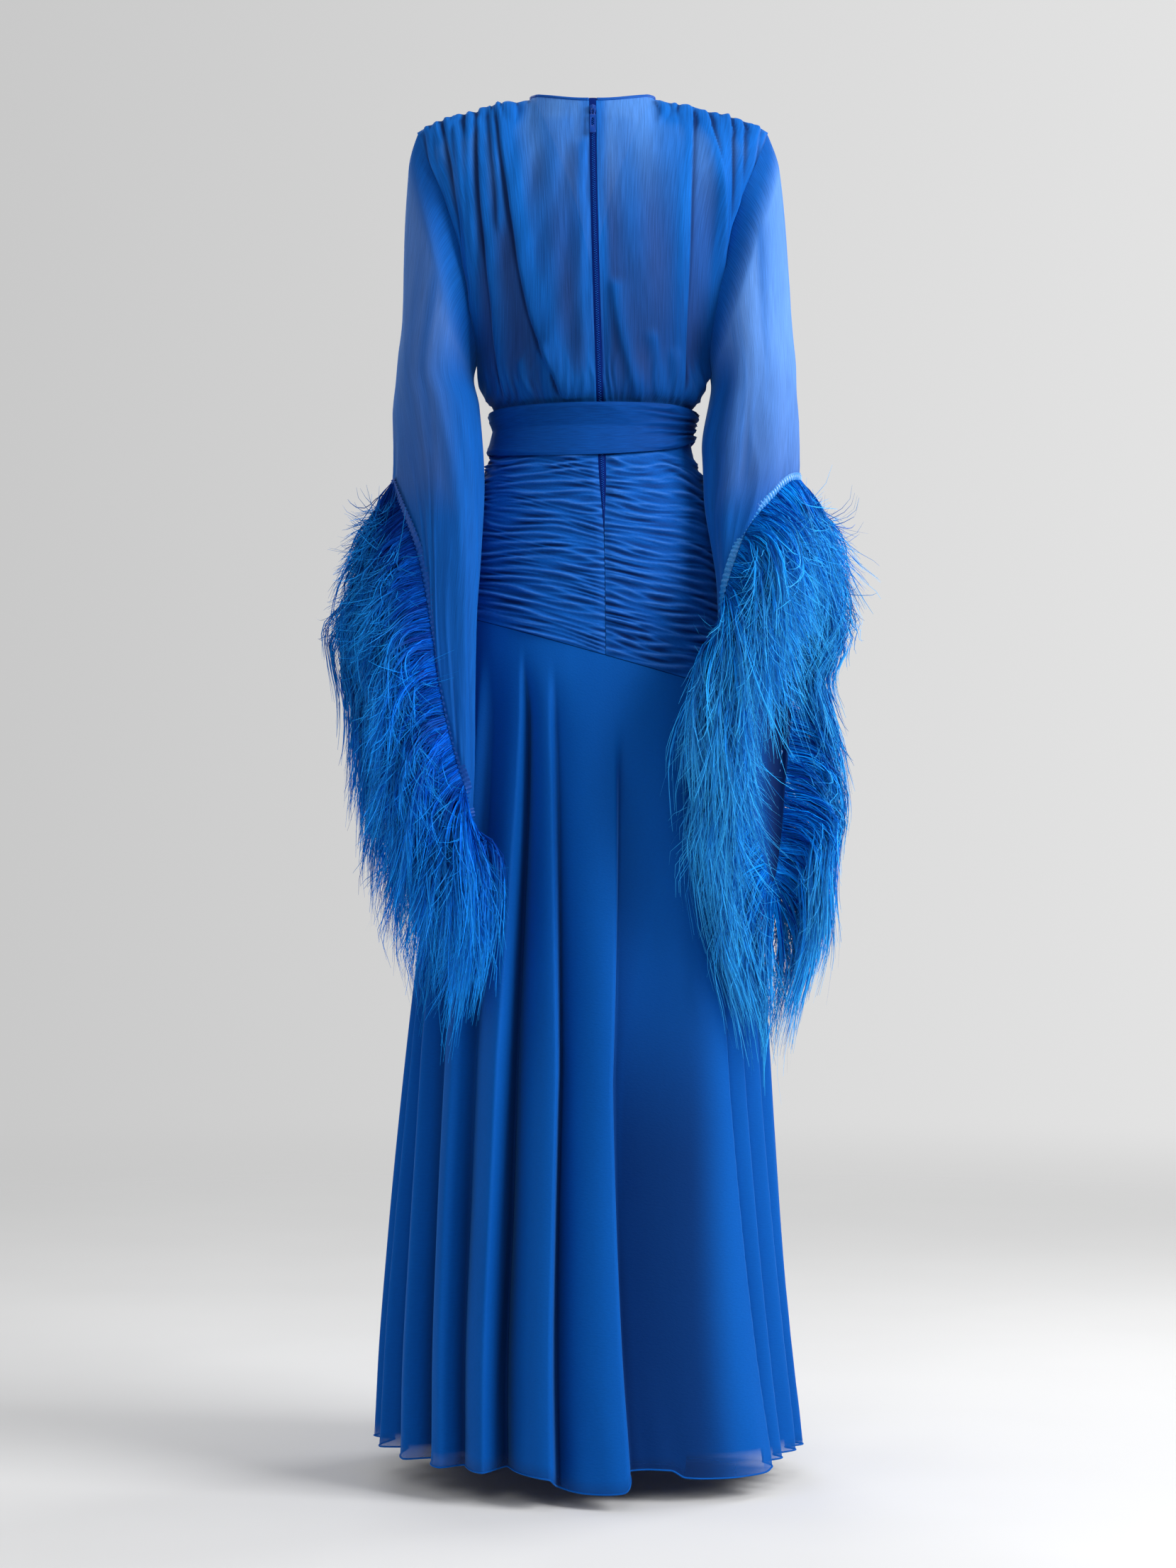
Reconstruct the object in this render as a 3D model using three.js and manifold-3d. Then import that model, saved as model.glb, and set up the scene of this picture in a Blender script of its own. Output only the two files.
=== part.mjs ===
// A floor-length chiffon evening dress, worn and hollow: gathered bodice with a zip at the back, wide sash,
// ruched hip yoke with a slanting lower edge, flared skirt in long folds, and flared sleeves whose slanting
// hems carry a fringe of feather locks. Millimetres, +Z up, the front faces -Y and the wearer's left is +X.
// The origin is midway between the two neck points of the shoulder seams, which carry the dress.
import * as THREE from "three";
import { mergeVertices } from "three/addons/utils/BufferGeometryUtils.js";
import Module from "manifold-3d";

const wasm = await Module();
wasm.setup();

const { sin, cos, sqrt, atan2, abs, min, max, PI } = Math;
const { lerp, clamp, smoothstep, degToRad, radToDeg } = THREE.MathUtils;
const DOWN = new THREE.Vector3(0, 0, -1);

// Driving dimensions
const WALL = 1.6; // cloth wall
const SEAM = 0.3; // gap between two pieces that are sewn together
const ARMHOLE_GAP = 0.7;
const WAIST_DROP = 374; // waist seam below the neck points
const UNDERARM_DROP = 290;
const TIP_HALF = 198; // half the breadth between the shoulder tips
const TIP_DROP = 38;
const NECK_HALF = 70; // half the width of the neck opening
const BACK_NECK_DROP = 13;
const FRONT_NECK_DROP = 205; // point of the V
const SHOULDER_Y = 4; // the shoulder seam lies this far behind the neck points' line
const SHOULDER_ROLL = 90; // the shoulders round over within this drop
const ARM_SEAM = { from: 60, to: 200 }; // between these drops the side of the bodice comes forward to y = 0
const YOKE_DROP = 626; // lower edge of the hip yoke at the middle
const YOKE_SLANT = 0.28; // and how fast it rises towards the wearer's left
const HEM_DROP = 1510; // at the sides
const HEM_DIP = 17; // and so much lower at the middle of the back and front
const HALF_SEAM_TURN = 0.1; // half the gap of the yoke's side seams, in degrees
const HALF_SKIRT_SEAM_TURN = 0.04;
const ZIP_HALF = 4; // half the width of the slot that the zip shows in
const ZIP_END_DROP = 502; // the hip slit closes here
const CENTRE_SHIFT = -14; // the back seam's place at the yoke's lower edge

// Outer surface of the bodice by drop below the neck points: the place of its side edge, the half-width of
// the oval that gives its depth, and that depth behind and in front.
const TORSO = [
  { drop: 36, side: 198, oval: 207, back: 82, front: 78 },
  { drop: 60, side: 190, oval: 205, back: 86, front: 86 },
  { drop: 100, side: 173, oval: 196, back: 92, front: 98 },
  { drop: 150, side: 155, oval: 178, back: 96, front: 110 },
  { drop: 200, side: 142, oval: 162, back: 98, front: 118 },
  { drop: 250, side: 133.5, oval: 145, back: 98, front: 122 },
  { drop: 290, side: 128.5, oval: 128.5, back: 96, front: 120 },
  { drop: 324, side: 124, oval: 124, back: 94, front: 110 },
  { drop: 337, side: 121, oval: 121, back: 90, front: 101 },
  { drop: 347, side: 113, oval: 113, back: 82, front: 90 },
  { drop: 374, side: 108, oval: 108, back: 77, front: 84 },
];

// Height of the shoulder line over the neck points, by distance from the middle.
const SHOULDER = [
  { x: 0, z: 30 },
  { x: 35, z: 22 },
  { x: 60, z: 8 },
  { x: 70, z: 0 },
  { x: 97, z: -6 },
  { x: 124, z: -13 },
  { x: 160, z: -21 },
  { x: 184, z: -29 },
  { x: 198, z: -37 },
];

// Outer surface of the hips and skirt: half-width, depth behind and in front, and sideways shift.
const LOWER = [
  { drop: 374, half: 108, back: 77, front: 84, shift: 0 },
  { drop: 405, half: 114, back: 84, front: 90, shift: 0 },
  { drop: 430, half: 124, back: 93, front: 96, shift: 0 },
  { drop: 470, half: 139, back: 103, front: 102, shift: 0 },
  { drop: 520, half: 152, back: 114, front: 108, shift: 0 },
  { drop: 570, half: 160, back: 121, front: 112, shift: 0 },
  { drop: 620, half: 164, back: 124, front: 115, shift: 0 },
  { drop: 680, half: 168, back: 127, front: 118, shift: 0 },
  { drop: 780, half: 177, back: 134, front: 126, shift: 0 },
  { drop: 900, half: 189, back: 146, front: 138, shift: 1 },
  { drop: 1020, half: 199, back: 160, front: 150, shift: 3 },
  { drop: 1150, half: 208, back: 175, front: 165, shift: 6 },
  { drop: 1280, half: 218, back: 190, front: 180, shift: 8 },
  { drop: 1400, half: 228, back: 204, front: 194, shift: 8 },
  { drop: 1526, half: 238, back: 218, front: 208, shift: 5 },
];

// Ridges of the skirt's folds, round from the wearer's left over the back: where each stands, how deep the
// cloth falls at the hem before the next one, how far along that way the valley lies, and where it starts.
const SKIRT_FOLDS = [
  { turn: 0, depth: 13, valley: 0.4, start: 700 },
  { turn: 10, depth: 14, valley: 0.35, start: 700 },
  { turn: 20, depth: 15, valley: 0.35, start: 690 },
  { turn: 30, depth: 17, valley: 0.35, start: 680 },
  { turn: 42, depth: 20, valley: 0.35, start: 640 },
  { turn: 61, depth: 27, valley: 0.32, start: 630 },
  { turn: 77, depth: 21, valley: 0.3, start: 650 },
  { turn: 96, depth: 24, valley: 0.4, start: 720 },
  { turn: 131, depth: 12, valley: 0.45, start: 700 },
  { turn: 142, depth: 12, valley: 0.4, start: 690 },
  { turn: 153, depth: 13, valley: 0.4, start: 690 },
  { turn: 166, depth: 13, valley: 0.45, start: 700 },
  { turn: 180, depth: 15, valley: 0.5, start: 720 },
  { turn: 195, depth: 16, valley: 0.5, start: 720 },
  { turn: 209, depth: 18, valley: 0.5, start: 710 },
  { turn: 224, depth: 20, valley: 0.5, start: 700 },
  { turn: 240, depth: 21, valley: 0.5, start: 720 },
  { turn: 255, depth: 22, valley: 0.5, start: 740 },
  { turn: 271, depth: 22, valley: 0.5, start: 740 },
  { turn: 287, depth: 21, valley: 0.5, start: 720 },
  { turn: 302, depth: 20, valley: 0.5, start: 700 },
  { turn: 317, depth: 18, valley: 0.5, start: 700 },
  { turn: 331, depth: 16, valley: 0.5, start: 710 },
  { turn: 346, depth: 14, valley: 0.5, start: 720 },
  { turn: 360, depth: 0, valley: 0.5, start: 720 },
];
const FOLD_GROWTH = 620; // a fold reaches its full depth this far below its start

// Upper and lower edge of the sash, by the turn round the waist.
const SASH = [
  { turn: 0, top: 355, bottom: 400 },
  { turn: 45, top: 351, bottom: 406 },
  { turn: 90, top: 349, bottom: 407 },
  { turn: 135, top: 349, bottom: 399 },
  { turn: 180, top: 354, bottom: 385 },
  { turn: 225, top: 351, bottom: 398 },
  { turn: 270, top: 350, bottom: 404 },
  { turn: 315, top: 352, bottom: 402 },
  { turn: 360, top: 355, bottom: 400 },
];

// Sections of the hanging sleeves, for the wearer's left as it stands and mirrored for the right: centre,
// half-size outwards and half-size across that, and how far the outward way is turned to the back.
const SLEEVES = {
  left: {
    side: 1,
    sections: [
      { drop: 50, x: 160, y: 4, out: 46, across: 46, turn: 0 },
      { drop: 150, x: 166, y: 6, out: 44, across: 62, turn: 0 },
      { drop: 250, x: 173, y: 10, out: 42, across: 68, turn: 0 },
      { drop: 310, x: 178, y: 15, out: 43, across: 72, turn: 4 },
      { drop: 350, x: 175, y: 27, out: 47, across: 76, turn: 12 },
      { drop: 430, x: 173, y: 45, out: 45, across: 84, turn: 23 },
      { drop: 520, x: 178, y: 80, out: 41, across: 87, turn: 33 },
      { drop: 600, x: 182, y: 98, out: 38, across: 84, turn: 38 },
      { drop: 700, x: 179, y: 112, out: 32, across: 72, turn: 42 },
      { drop: 800, x: 169, y: 124, out: 24, across: 52, turn: 45 },
      { drop: 850, x: 162, y: 130, out: 17, across: 36, turn: 45 },
    ],
    // The hem, round from the outside over the back: the place round the section and the drop.
    hem: [
      { turn: -14, drop: 435 },
      { turn: 4, drop: 466 },
      { turn: 20, drop: 505 },
      { turn: 31, drop: 556 },
      { turn: 38, drop: 610 },
      { turn: 43, drop: 664 },
      { turn: 53, drop: 718 },
      { turn: 72, drop: 765 },
      { turn: 100, drop: 806 },
      { turn: 135, drop: 832 },
      { turn: 175, drop: 822 },
      { turn: 208, drop: 778 },
      { turn: 232, drop: 718 },
      { turn: 252, drop: 652 },
      { turn: 272, drop: 590 },
      { turn: 296, drop: 525 },
      { turn: 322, drop: 463 },
      { turn: 346, drop: 435 },
    ],
    folds: [
      { turn: 62, wide: 16, depth: 5, start: 180 },
      { turn: 92, wide: 15, depth: 6, start: 240 },
      { turn: 122, wide: 15, depth: 5, start: 300 },
      { turn: 216, wide: 18, depth: 4, start: 260 },
      { turn: 262, wide: 18, depth: 5, start: 240 },
      { turn: 306, wide: 16, depth: 4, start: 220 },
    ],
  },
  right: {
    side: -1,
    sections: [
      { drop: 50, x: 160, y: 4, out: 47, across: 46, turn: 0 },
      { drop: 150, x: 168, y: 6, out: 50, across: 62, turn: 0 },
      { drop: 250, x: 174, y: 10, out: 48, across: 68, turn: 0 },
      { drop: 310, x: 179, y: 14, out: 46, across: 72, turn: 0 },
      { drop: 350, x: 180, y: 18, out: 47, across: 73, turn: 3 },
      { drop: 430, x: 183, y: 34, out: 48, across: 77, turn: 12 },
      { drop: 500, x: 186, y: 60, out: 44, across: 78, turn: 24 },
      { drop: 600, x: 187, y: 84, out: 37, across: 75, turn: 32 },
      { drop: 700, x: 190, y: 98, out: 31, across: 68, turn: 38 },
      { drop: 800, x: 195, y: 106, out: 25, across: 50, turn: 38 },
      { drop: 900, x: 199, y: 109, out: 18, across: 32, turn: 38 },
    ],
    hem: [
      { turn: -4, drop: 431 },
      { turn: 22, drop: 435 },
      { turn: 45, drop: 453 },
      { turn: 64, drop: 478 },
      { turn: 81, drop: 511 },
      { turn: 97, drop: 555 },
      { turn: 112, drop: 606 },
      { turn: 131, drop: 660 },
      { turn: 153, drop: 722 },
      { turn: 172, drop: 790 },
      { turn: 196, drop: 858 },
      { turn: 218, drop: 878 },
      { turn: 236, drop: 830 },
      { turn: 246, drop: 752 },
      { turn: 258, drop: 668 },
      { turn: 276, drop: 580 },
      { turn: 300, drop: 500 },
      { turn: 330, drop: 448 },
      { turn: 356, drop: 431 },
    ],
    folds: [
      { turn: 36, wide: 15, depth: 4, start: 200 },
      { turn: 80, wide: 16, depth: 5, start: 220 },
      { turn: 126, wide: 17, depth: 5, start: 280 },
      { turn: 200, wide: 18, depth: 4, start: 300 },
      { turn: 250, wide: 18, depth: 5, start: 240 },
      { turn: 304, wide: 16, depth: 4, start: 220 },
    ],
  },
};
const SLEEVE_COLUMNS = 30;
const HEAD_LENGTH = 42; // within this drop the sleeve rounds out from its armhole seam

const COLOURS = {
  bodice: { color: 0x2057b8, roughness: 0.62, metalness: 0 },
  sleeve: { color: 0x2a62c4, roughness: 0.6, metalness: 0 },
  yoke: { color: 0x1552b4, roughness: 0.68, metalness: 0 },
  sash: { color: 0x134ba8, roughness: 0.6, metalness: 0 },
  skirt: { color: 0x0e4fae, roughness: 0.62, metalness: 0 },
  feather: { color: 0x2478cc, roughness: 0.8, metalness: 0 },
  zip: { color: 0x1b3c98, roughness: 0.45, metalness: 0.1 },
};

// The value of one column of a table at a place along it: a cubic through rows whose place rises.
function read(table, place, at, column) {
  const last = table.length - 1;
  let i = 0;
  while (i < last - 1 && at > table[i + 1][place]) i++;
  const span = table[i + 1][place] - table[i][place];
  const t = clamp((at - table[i][place]) / span, 0, 1);
  const slope = (j) => {
    const before = table[max(j - 1, 0)];
    const after = table[min(j + 1, last)];
    return (after[column] - before[column]) / (after[place] - before[place]);
  };
  const t2 = t * t;
  const t3 = t2 * t;
  return (
    (2 * t3 - 3 * t2 + 1) * table[i][column] +
    (t3 - 2 * t2 + t) * span * slope(i) +
    (3 * t2 - 2 * t3) * table[i + 1][column] +
    (t3 - t2) * span * slope(i + 1)
  );
}

// count + 1 even steps from a to b.
const steps = (a, b, count) => Array.from({ length: count + 1 }, (_, i) => a + ((b - a) * i) / count);

// Points of a surface: one row for each v, one column for each u.
const gridOf = (point, columns, rows) => rows.map((v) => columns.map((u) => point(u, v)));

// The grid moved along its own normals, which face out where columns run anticlockwise and rows run up.
function moved(grid, distance, ring = false) {
  const rows = grid.length;
  const columns = grid[0].length;
  return grid.map((row, j) =>
    row.map((p, i) => {
      const across = new THREE.Vector3();
      if (ring) across.subVectors(row[(i + 1) % columns], row[(i + columns - 1) % columns]);
      else across.subVectors(row[min(i + 1, columns - 1)], row[max(i - 1, 0)]);
      const along = new THREE.Vector3().subVectors(grid[min(j + 1, rows - 1)][i], grid[max(j - 1, 0)][i]);
      const normal = across.cross(along).normalize();
      return p.clone().addScaledVector(normal, distance);
    }),
  );
}

// A closed wall between an outer and an inner grid, which may differ in their numbers of rows and columns.
function wall(outer, inner, ring = false) {
  const points = [];
  const faces = [];
  const place = (grid) => grid.map((row) => row.map((p) => points.push(p) - 1));
  const a = place(outer);
  const b = place(inner);
  const skin = (ids, turned) => {
    const columns = ids[0].length;
    for (let j = 0; j + 1 < ids.length; j++)
      for (let i = 0; i < (ring ? columns : columns - 1); i++) {
        const k = (i + 1) % columns;
        const quad = [
          [ids[j][i], ids[j][k], ids[j + 1][k]],
          [ids[j][i], ids[j + 1][k], ids[j + 1][i]],
        ];
        for (const f of quad) faces.push(turned ? [f[0], f[2], f[1]] : f);
      }
  };
  // Triangles between two lines of points that run side by side.
  const rim = (p, q, turned) => {
    let i = 0;
    let j = 0;
    while (i + 1 < p.length || j + 1 < q.length) {
      const behind = (i + 1) * (q.length - 1) <= (j + 1) * (p.length - 1);
      const first = j + 1 >= q.length || (i + 1 < p.length && behind);
      const f = first ? [p[i], q[j], p[i + 1]] : [p[i], q[j], q[j + 1]];
      if (first) i++;
      else j++;
      faces.push(turned ? [f[0], f[2], f[1]] : f);
    }
  };
  const closed = (row) => (ring ? [...row, row[0]] : row);
  const side = (ids, i) => ids.map((row) => row.at(i));
  skin(a, false);
  skin(b, true);
  rim(closed(a[0]), closed(b[0]), false);
  rim(closed(a.at(-1)), closed(b.at(-1)), true);
  if (!ring) {
    rim(side(a, 0), side(b, 0), true);
    rim(side(a, -1), side(b, -1), false);
  }
  const geometry = new THREE.BufferGeometry().setFromPoints(points);
  geometry.setIndex(faces.flat());
  return geometry;
}

// Puts a panel's points on their own side of the side and shoulder seams.
function ownSide(grid, back) {
  const way = back ? 1 : -1;
  for (const p of grid.flat()) {
    const seam = lerp(SHOULDER_Y, 0, smoothstep(-p.z, ARM_SEAM.from, ARM_SEAM.to));
    p.y = seam + way * max(way * (p.y - seam), SEAM / 2);
  }
  return grid;
}

// Where the cloth lies behind or in front of the middle plane, over the bodice.
function bodiceDepth(x, drop, back) {
  const body = read(TORSO, "drop", drop, back ? "back" : "front");
  const oval = read(TORSO, "drop", drop, "oval");
  const y = body * sqrt(max(0, 1 - (x / oval) ** 2));
  const below = read(SHOULDER, "x", abs(x), "z") + drop;
  const roll = sqrt(1 - (1 - clamp(below / SHOULDER_ROLL, 0, 1)) ** 2);
  return lerp(SHOULDER_Y, back ? y : -y, roll);
}

const backSeamX = (drop) => CENTRE_SHIFT * smoothstep(drop, 0, YOKE_DROP);

// Drop of the bodice's upper edge: u is 0 at the middle, NECK_SHARE at the neck point and 1 at the tip.
const NECK_SHARE = 0.375;
function upperEdge(u, back) {
  if (u > NECK_SHARE) {
    const x = lerp(NECK_HALF, TIP_HALF, (u - NECK_SHARE) / (1 - NECK_SHARE));
    return { x, drop: -read(SHOULDER, "x", x, "z") };
  }
  const share = u / NECK_SHARE;
  const drop = back ? BACK_NECK_DROP * (1 - share ** 2) : FRONT_NECK_DROP * (1 - share) ** 1.5;
  return { x: NECK_HALF * share, drop };
}

// Gathers along the shoulder seam and the waist seam: their height over the plain cloth.
const GATHERS = 8; // for each half of the back or front
const GATHER_DEPTH = 4.4;
function gather(u, v, drop) {
  const crest = (1 + cos(2 * PI * GATHERS * u)) / 2;
  const atShoulder = smoothstep(u, 0.3, 0.5) * smoothstep(v, 0.45, 0.9) * (1 - smoothstep(v, 0.97, 1));
  const atWaist = smoothstep(drop, 210, 330) * (1 - smoothstep(drop, 336, 346));
  return GATHER_DEPTH * crest * max(atShoulder, 0.8 * atWaist);
}

// One half of the bodice's back or front, from u = 0 at the middle to 1 at the side, v up from the waist.
function bodicePoint(u, v, back, side, gathered = true) {
  const top = upperEdge(u, back);
  const drop = lerp(WAIST_DROP - SEAM / 2, top.drop, v);
  const edge = read(TORSO, "drop", drop, "side");
  const start = back ? side * backSeamX(drop) + ZIP_HALF : 0;
  const atWaist = sin((PI / 2) * u ** 1.15);
  const topX = top.x + start * max(0, 1 - u / NECK_SHARE);
  const atTop = (topX - start) / (TIP_HALF - start);
  const x = lerp(start, edge, lerp(atWaist, atTop, smoothstep(v, 0, 1)));
  const height = gathered ? gather(u, v, drop) : 0;
  return new THREE.Vector3(side * x, bodiceDepth(x, drop, back) + (back ? height : -height), -drop);
}

const BODICE_ROWS = [0, 0.075, 0.11, 0.16, 0.26, 0.38, 0.52, 0.66, 0.78, 0.88, 0.94, 0.975, 1];
const INNER_ROWS = [0, 0.075, 0.11, 0.16, 0.38, 0.66, 0.88, 0.94, 0.975, 1];

// The two faces of a panel from u = from to u = to, with a negative u on the wearer's right.
function bodiceFaces(from, to, back) {
  const side = (u) => (u < 0 || (u === 0 && from + to < 0) ? -1 : 1);
  const columns = steps(from, to, 2 * GATHERS * abs(to - from));
  const outer = gridOf((u, v) => bodicePoint(abs(u), v, back, side(u)), columns, BODICE_ROWS);
  const plain = gridOf((u, v) => bodicePoint(abs(u), v, back, side(u), false), columns, INNER_ROWS);
  return [ownSide(outer, back), ownSide(moved(plain, -WALL), back)];
}

// The narrow binding that finishes the neck, standing on the edges of the bodice's wall.
const BINDING_HEIGHT = 4;
const NECK_COLUMNS = 2 * GATHERS * NECK_SHARE;
function neckBinding() {
  const edges = (from, to, back, first, last) => {
    const [outer, inner] = bodiceFaces(from, to, back).map((face) => face.at(-1).slice(first, last));
    return outer.map((p, i) => ({ p, q: inner[i] }));
  };
  const half = 2 * GATHERS;
  const line = [
    ...edges(0, -1, true, 0, NECK_COLUMNS + 1),
    ...edges(-1, 1, false, half - NECK_COLUMNS + 1, half + NECK_COLUMNS),
    ...edges(1, 0, true, half - NECK_COLUMNS, half + 1),
  ];
  const up = line.map(({ p, q }, i) => {
    const along = line[min(i + 1, line.length - 1)].p.clone().sub(line[max(i - 1, 0)].p);
    return p.clone().sub(q).cross(along).normalize();
  });
  const row = (key, height) => line.map((at, i) => at[key].clone().addScaledVector(up[i], height));
  const face = (key) => [row(key, SEAM), row(key, SEAM + BINDING_HEIGHT)];
  return wall(face("p"), face("q"));
}

// Outer surface of the hips and skirt at a turn round the body, with no folds; 0 is the wearer's left.
function lowerPoint(turn, drop, out = 0) {
  const a = degToRad(turn);
  const depth = read(LOWER, "drop", drop, sin(a) >= 0 ? "back" : "front");
  const x = read(LOWER, "drop", drop, "shift") + (read(LOWER, "drop", drop, "half") + out) * cos(a);
  return new THREE.Vector3(x, (depth + out) * sin(a), -drop);
}

const yokeEdge = (turn) => YOKE_DROP - YOKE_SLANT * (read(LOWER, "drop", YOKE_DROP, "half") + 1) * cos(degToRad(turn));

// The ruched yoke: folds lie across it, crowded at the side and back seams.
const YOKE_FOLDS = 25;
const RUCHE_DEPTH = 2.6;
const EDGE_GAP = 0.7; // the yoke's lower edge and the skirt follow each other's curve in different steps
function yokePoint(turn, v, ruched) {
  const drop = lerp(yokeEdge(turn) - EDGE_GAP / 2, WAIST_DROP + SEAM / 2, v);
  const crest = (1 - cos(2 * PI * YOKE_FOLDS * v)) / 2;
  const calm = smoothstep(v, 0, 0.02) * (1 - smoothstep(v, 0.8, 0.92));
  return lowerPoint(turn, drop, ruched ? WALL * 0.4 + RUCHE_DEPTH * crest * calm : 0);
}

// How far the slot of the zip is open: fully at the waist, closing to a point at the end of the hip slit.
const slitOpening = (drop) => 1 - smoothstep(drop, WAIST_DROP + 40, ZIP_END_DROP);

// The turn at which the yoke's back edge meets the back seam or the zip's slot, on one side of it.
function backEdgeTurn(drop, side) {
  const x = backSeamX(drop) + side * (ZIP_HALF * slitOpening(drop) + 0.25);
  const share = x / read(LOWER, "drop", drop, "half");
  return radToDeg(atan2(sqrt(1 - share ** 2), share));
}

const YOKE_ROWS = steps(0, 1, 2 * YOKE_FOLDS);
const PLAIN_ROWS = steps(0, 1, 10);
function yokeBack(side) {
  const columns = side > 0 ? steps(0, 1, 6) : steps(1, 0, 6);
  const at = (u, v, ruched) => {
    const drop = lerp(YOKE_DROP, WAIST_DROP, v);
    const seamTurn = side > 0 ? HALF_SEAM_TURN : 180 - HALF_SEAM_TURN;
    return yokePoint(lerp(seamTurn, backEdgeTurn(drop, side), u), v, ruched);
  };
  const outer = gridOf((u, v) => at(u, v, true), columns, YOKE_ROWS);
  const inner = moved(gridOf((u, v) => at(u, v, false), columns, PLAIN_ROWS), -WALL);
  return wall(ownSide(outer, true), ownSide(inner, true));
}

function yokeFront() {
  const columns = steps(180 + HALF_SEAM_TURN, 360 - HALF_SEAM_TURN, 10);
  const outer = gridOf((turn, v) => yokePoint(turn, v, true), columns, YOKE_ROWS);
  const inner = moved(gridOf((turn, v) => yokePoint(turn, v, false), columns, PLAIN_ROWS), -WALL);
  return wall(ownSide(outer, false), ownSide(inner, false));
}

// The sash lies over the waist seam; its folds draw together at the wearer's right.
const SASH_CLEAR = 2.6;
const SASH_FOLDS = 3;
function waistSash() {
  const columns = steps(0, 360, 40).slice(0, -1);
  const point = (turn, v, folded) => {
    const drop = lerp(read(SASH, "turn", turn, "bottom"), read(SASH, "turn", turn, "top"), v);
    const bunch = 0.35 + 0.65 * smoothstep(-cos(degToRad(turn)), 0.3, 0.95);
    const fold = folded ? (1 + 2.6 * bunch) * sin(PI * SASH_FOLDS * v) ** 2 : 0;
    return lowerPoint(turn, WAIST_DROP, SASH_CLEAR + sashRise(drop) + WALL + fold).setZ(-drop);
  };
  const every = columns.filter((_, i) => i % 2 === 0);
  const outer = gridOf((turn, v) => point(turn, v, true), columns, steps(0, 1, 2 * SASH_FOLDS));
  const inner = moved(gridOf((turn, v) => point(turn, v, false), every, steps(0, 1, 3)), -WALL, true);
  return wall(outer, inner, true);
}

// How far the sash stands out from the waist seam to clear the bodice above it and the yoke below.
const sashRise = (drop) => (drop > WAIST_DROP ? 0.24 : 0.26) * abs(drop - WAIST_DROP);

// Depth of the skirt's folds at a turn and drop, as a distance inwards.
function skirtFold(turn, drop) {
  const i = SKIRT_FOLDS.findIndex((f, k) => k + 1 === SKIRT_FOLDS.length - 1 || SKIRT_FOLDS[k + 1].turn > turn);
  const { turn: from, depth, valley, start } = SKIRT_FOLDS[i];
  const share = (turn - from) / (SKIRT_FOLDS[i + 1].turn - from);
  const phase = share < valley ? (0.5 * share) / valley : 0.5 + (0.5 * (share - valley)) / (1 - valley);
  const grown = sqrt(clamp((drop - start) / FOLD_GROWTH, 0, 1)) * smoothstep(drop, start - 20, start + 120);
  return depth * grown * sin(PI * phase) ** 2;
}

const SKIRT_RISE = 4; // ridges stand this far out of the plain section at the hem
function skirtPoint(turn, v) {
  const top = yokeEdge(turn) + EDGE_GAP / 2;
  const drop = lerp(HEM_DROP + HEM_DIP * abs(sin(degToRad(turn))), top, v);
  const ridge = SKIRT_RISE * smoothstep(drop, top, HEM_DROP);
  return lowerPoint(turn, drop, ridge - skirtFold(turn, drop));
}

const SKIRT_ROWS = [0, 0.12, 0.28, 0.46, 0.63, 0.78, 0.91, 1];
function skirtPanel(from, to) {
  const columns = [];
  SKIRT_FOLDS.forEach((fold, i) => {
    if (fold.turn < from || fold.turn >= to) return;
    const span = SKIRT_FOLDS[i + 1].turn - fold.turn;
    const shares = [0, fold.valley / 2, fold.valley, (1 + fold.valley) / 2];
    columns.push(...shares.map((share) => fold.turn + share * span));
  });
  columns[0] += HALF_SKIRT_SEAM_TURN;
  columns.push(to - HALF_SKIRT_SEAM_TURN);
  const outer = ownSide(gridOf(skirtPoint, columns, SKIRT_ROWS), to <= 180);
  return wall(outer, ownSide(moved(outer, -WALL), to <= 180));
}

// A place on the armhole seam: turn 0 is the shoulder tip, 90 the back, 180 the underarm, 270 the front.
function armholePoint(turn) {
  const a = degToRad(turn);
  const drop = lerp(TIP_DROP, UNDERARM_DROP, (1 - cos(a)) / 2);
  const x = read(TORSO, "drop", drop, "side");
  return { x: x + ARMHOLE_GAP, y: bodiceDepth(x, drop, sin(a) >= 0), drop };
}

function sleeveSection(shape, drop, turn, out) {
  const a = degToRad(turn);
  const at = (column) => read(shape.sections, "drop", drop, column);
  const tilt = degToRad(at("turn"));
  const outward = (at("out") + out) * cos(a);
  const across = (at("across") + out) * sin(a);
  return {
    x: at("x") + outward * cos(tilt) - across * sin(tilt),
    y: at("y") + outward * sin(tilt) + across * cos(tilt),
  };
}

function sleeveFold(shape, turn, drop) {
  let sum = 0;
  for (const fold of shape.folds) {
    const away = (turn - fold.turn) / fold.wide;
    sum += fold.depth * Math.exp(-away * away) * smoothstep(drop, fold.start, fold.start + 200);
  }
  return sum;
}

// A place on the sleeve: s from 0 to 1 round it, t from 0 at the armhole seam to 1 at the hem.
function sleevePoint(shape, s, t) {
  const rows = shape.hem.map((row, i) => ({ ...row, s: i / (shape.hem.length - 1) }));
  const even = lerp(rows[0].turn, rows.at(-1).turn, s);
  const turn = lerp(even, read(rows, "s", s, "turn"), smoothstep(t, 0, 0.8));
  const start = armholePoint(even);
  const drop = lerp(start.drop, read(rows, "s", s, "drop"), t);
  const out = 1 - (1 - clamp((drop - start.drop) / HEAD_LENGTH, 0, 1)) ** 2;
  const full = sleeveSection(shape, drop, turn, -sleeveFold(shape, turn, drop));
  return new THREE.Vector3(shape.side * lerp(start.x, full.x, out), lerp(start.y, full.y, out), -drop);
}

const SLEEVE_ROWS = [0, 0.035, 0.08, 0.18, 0.32, 0.48, 0.64, 0.8];
const TAPE_WIDTH = 10;

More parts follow.
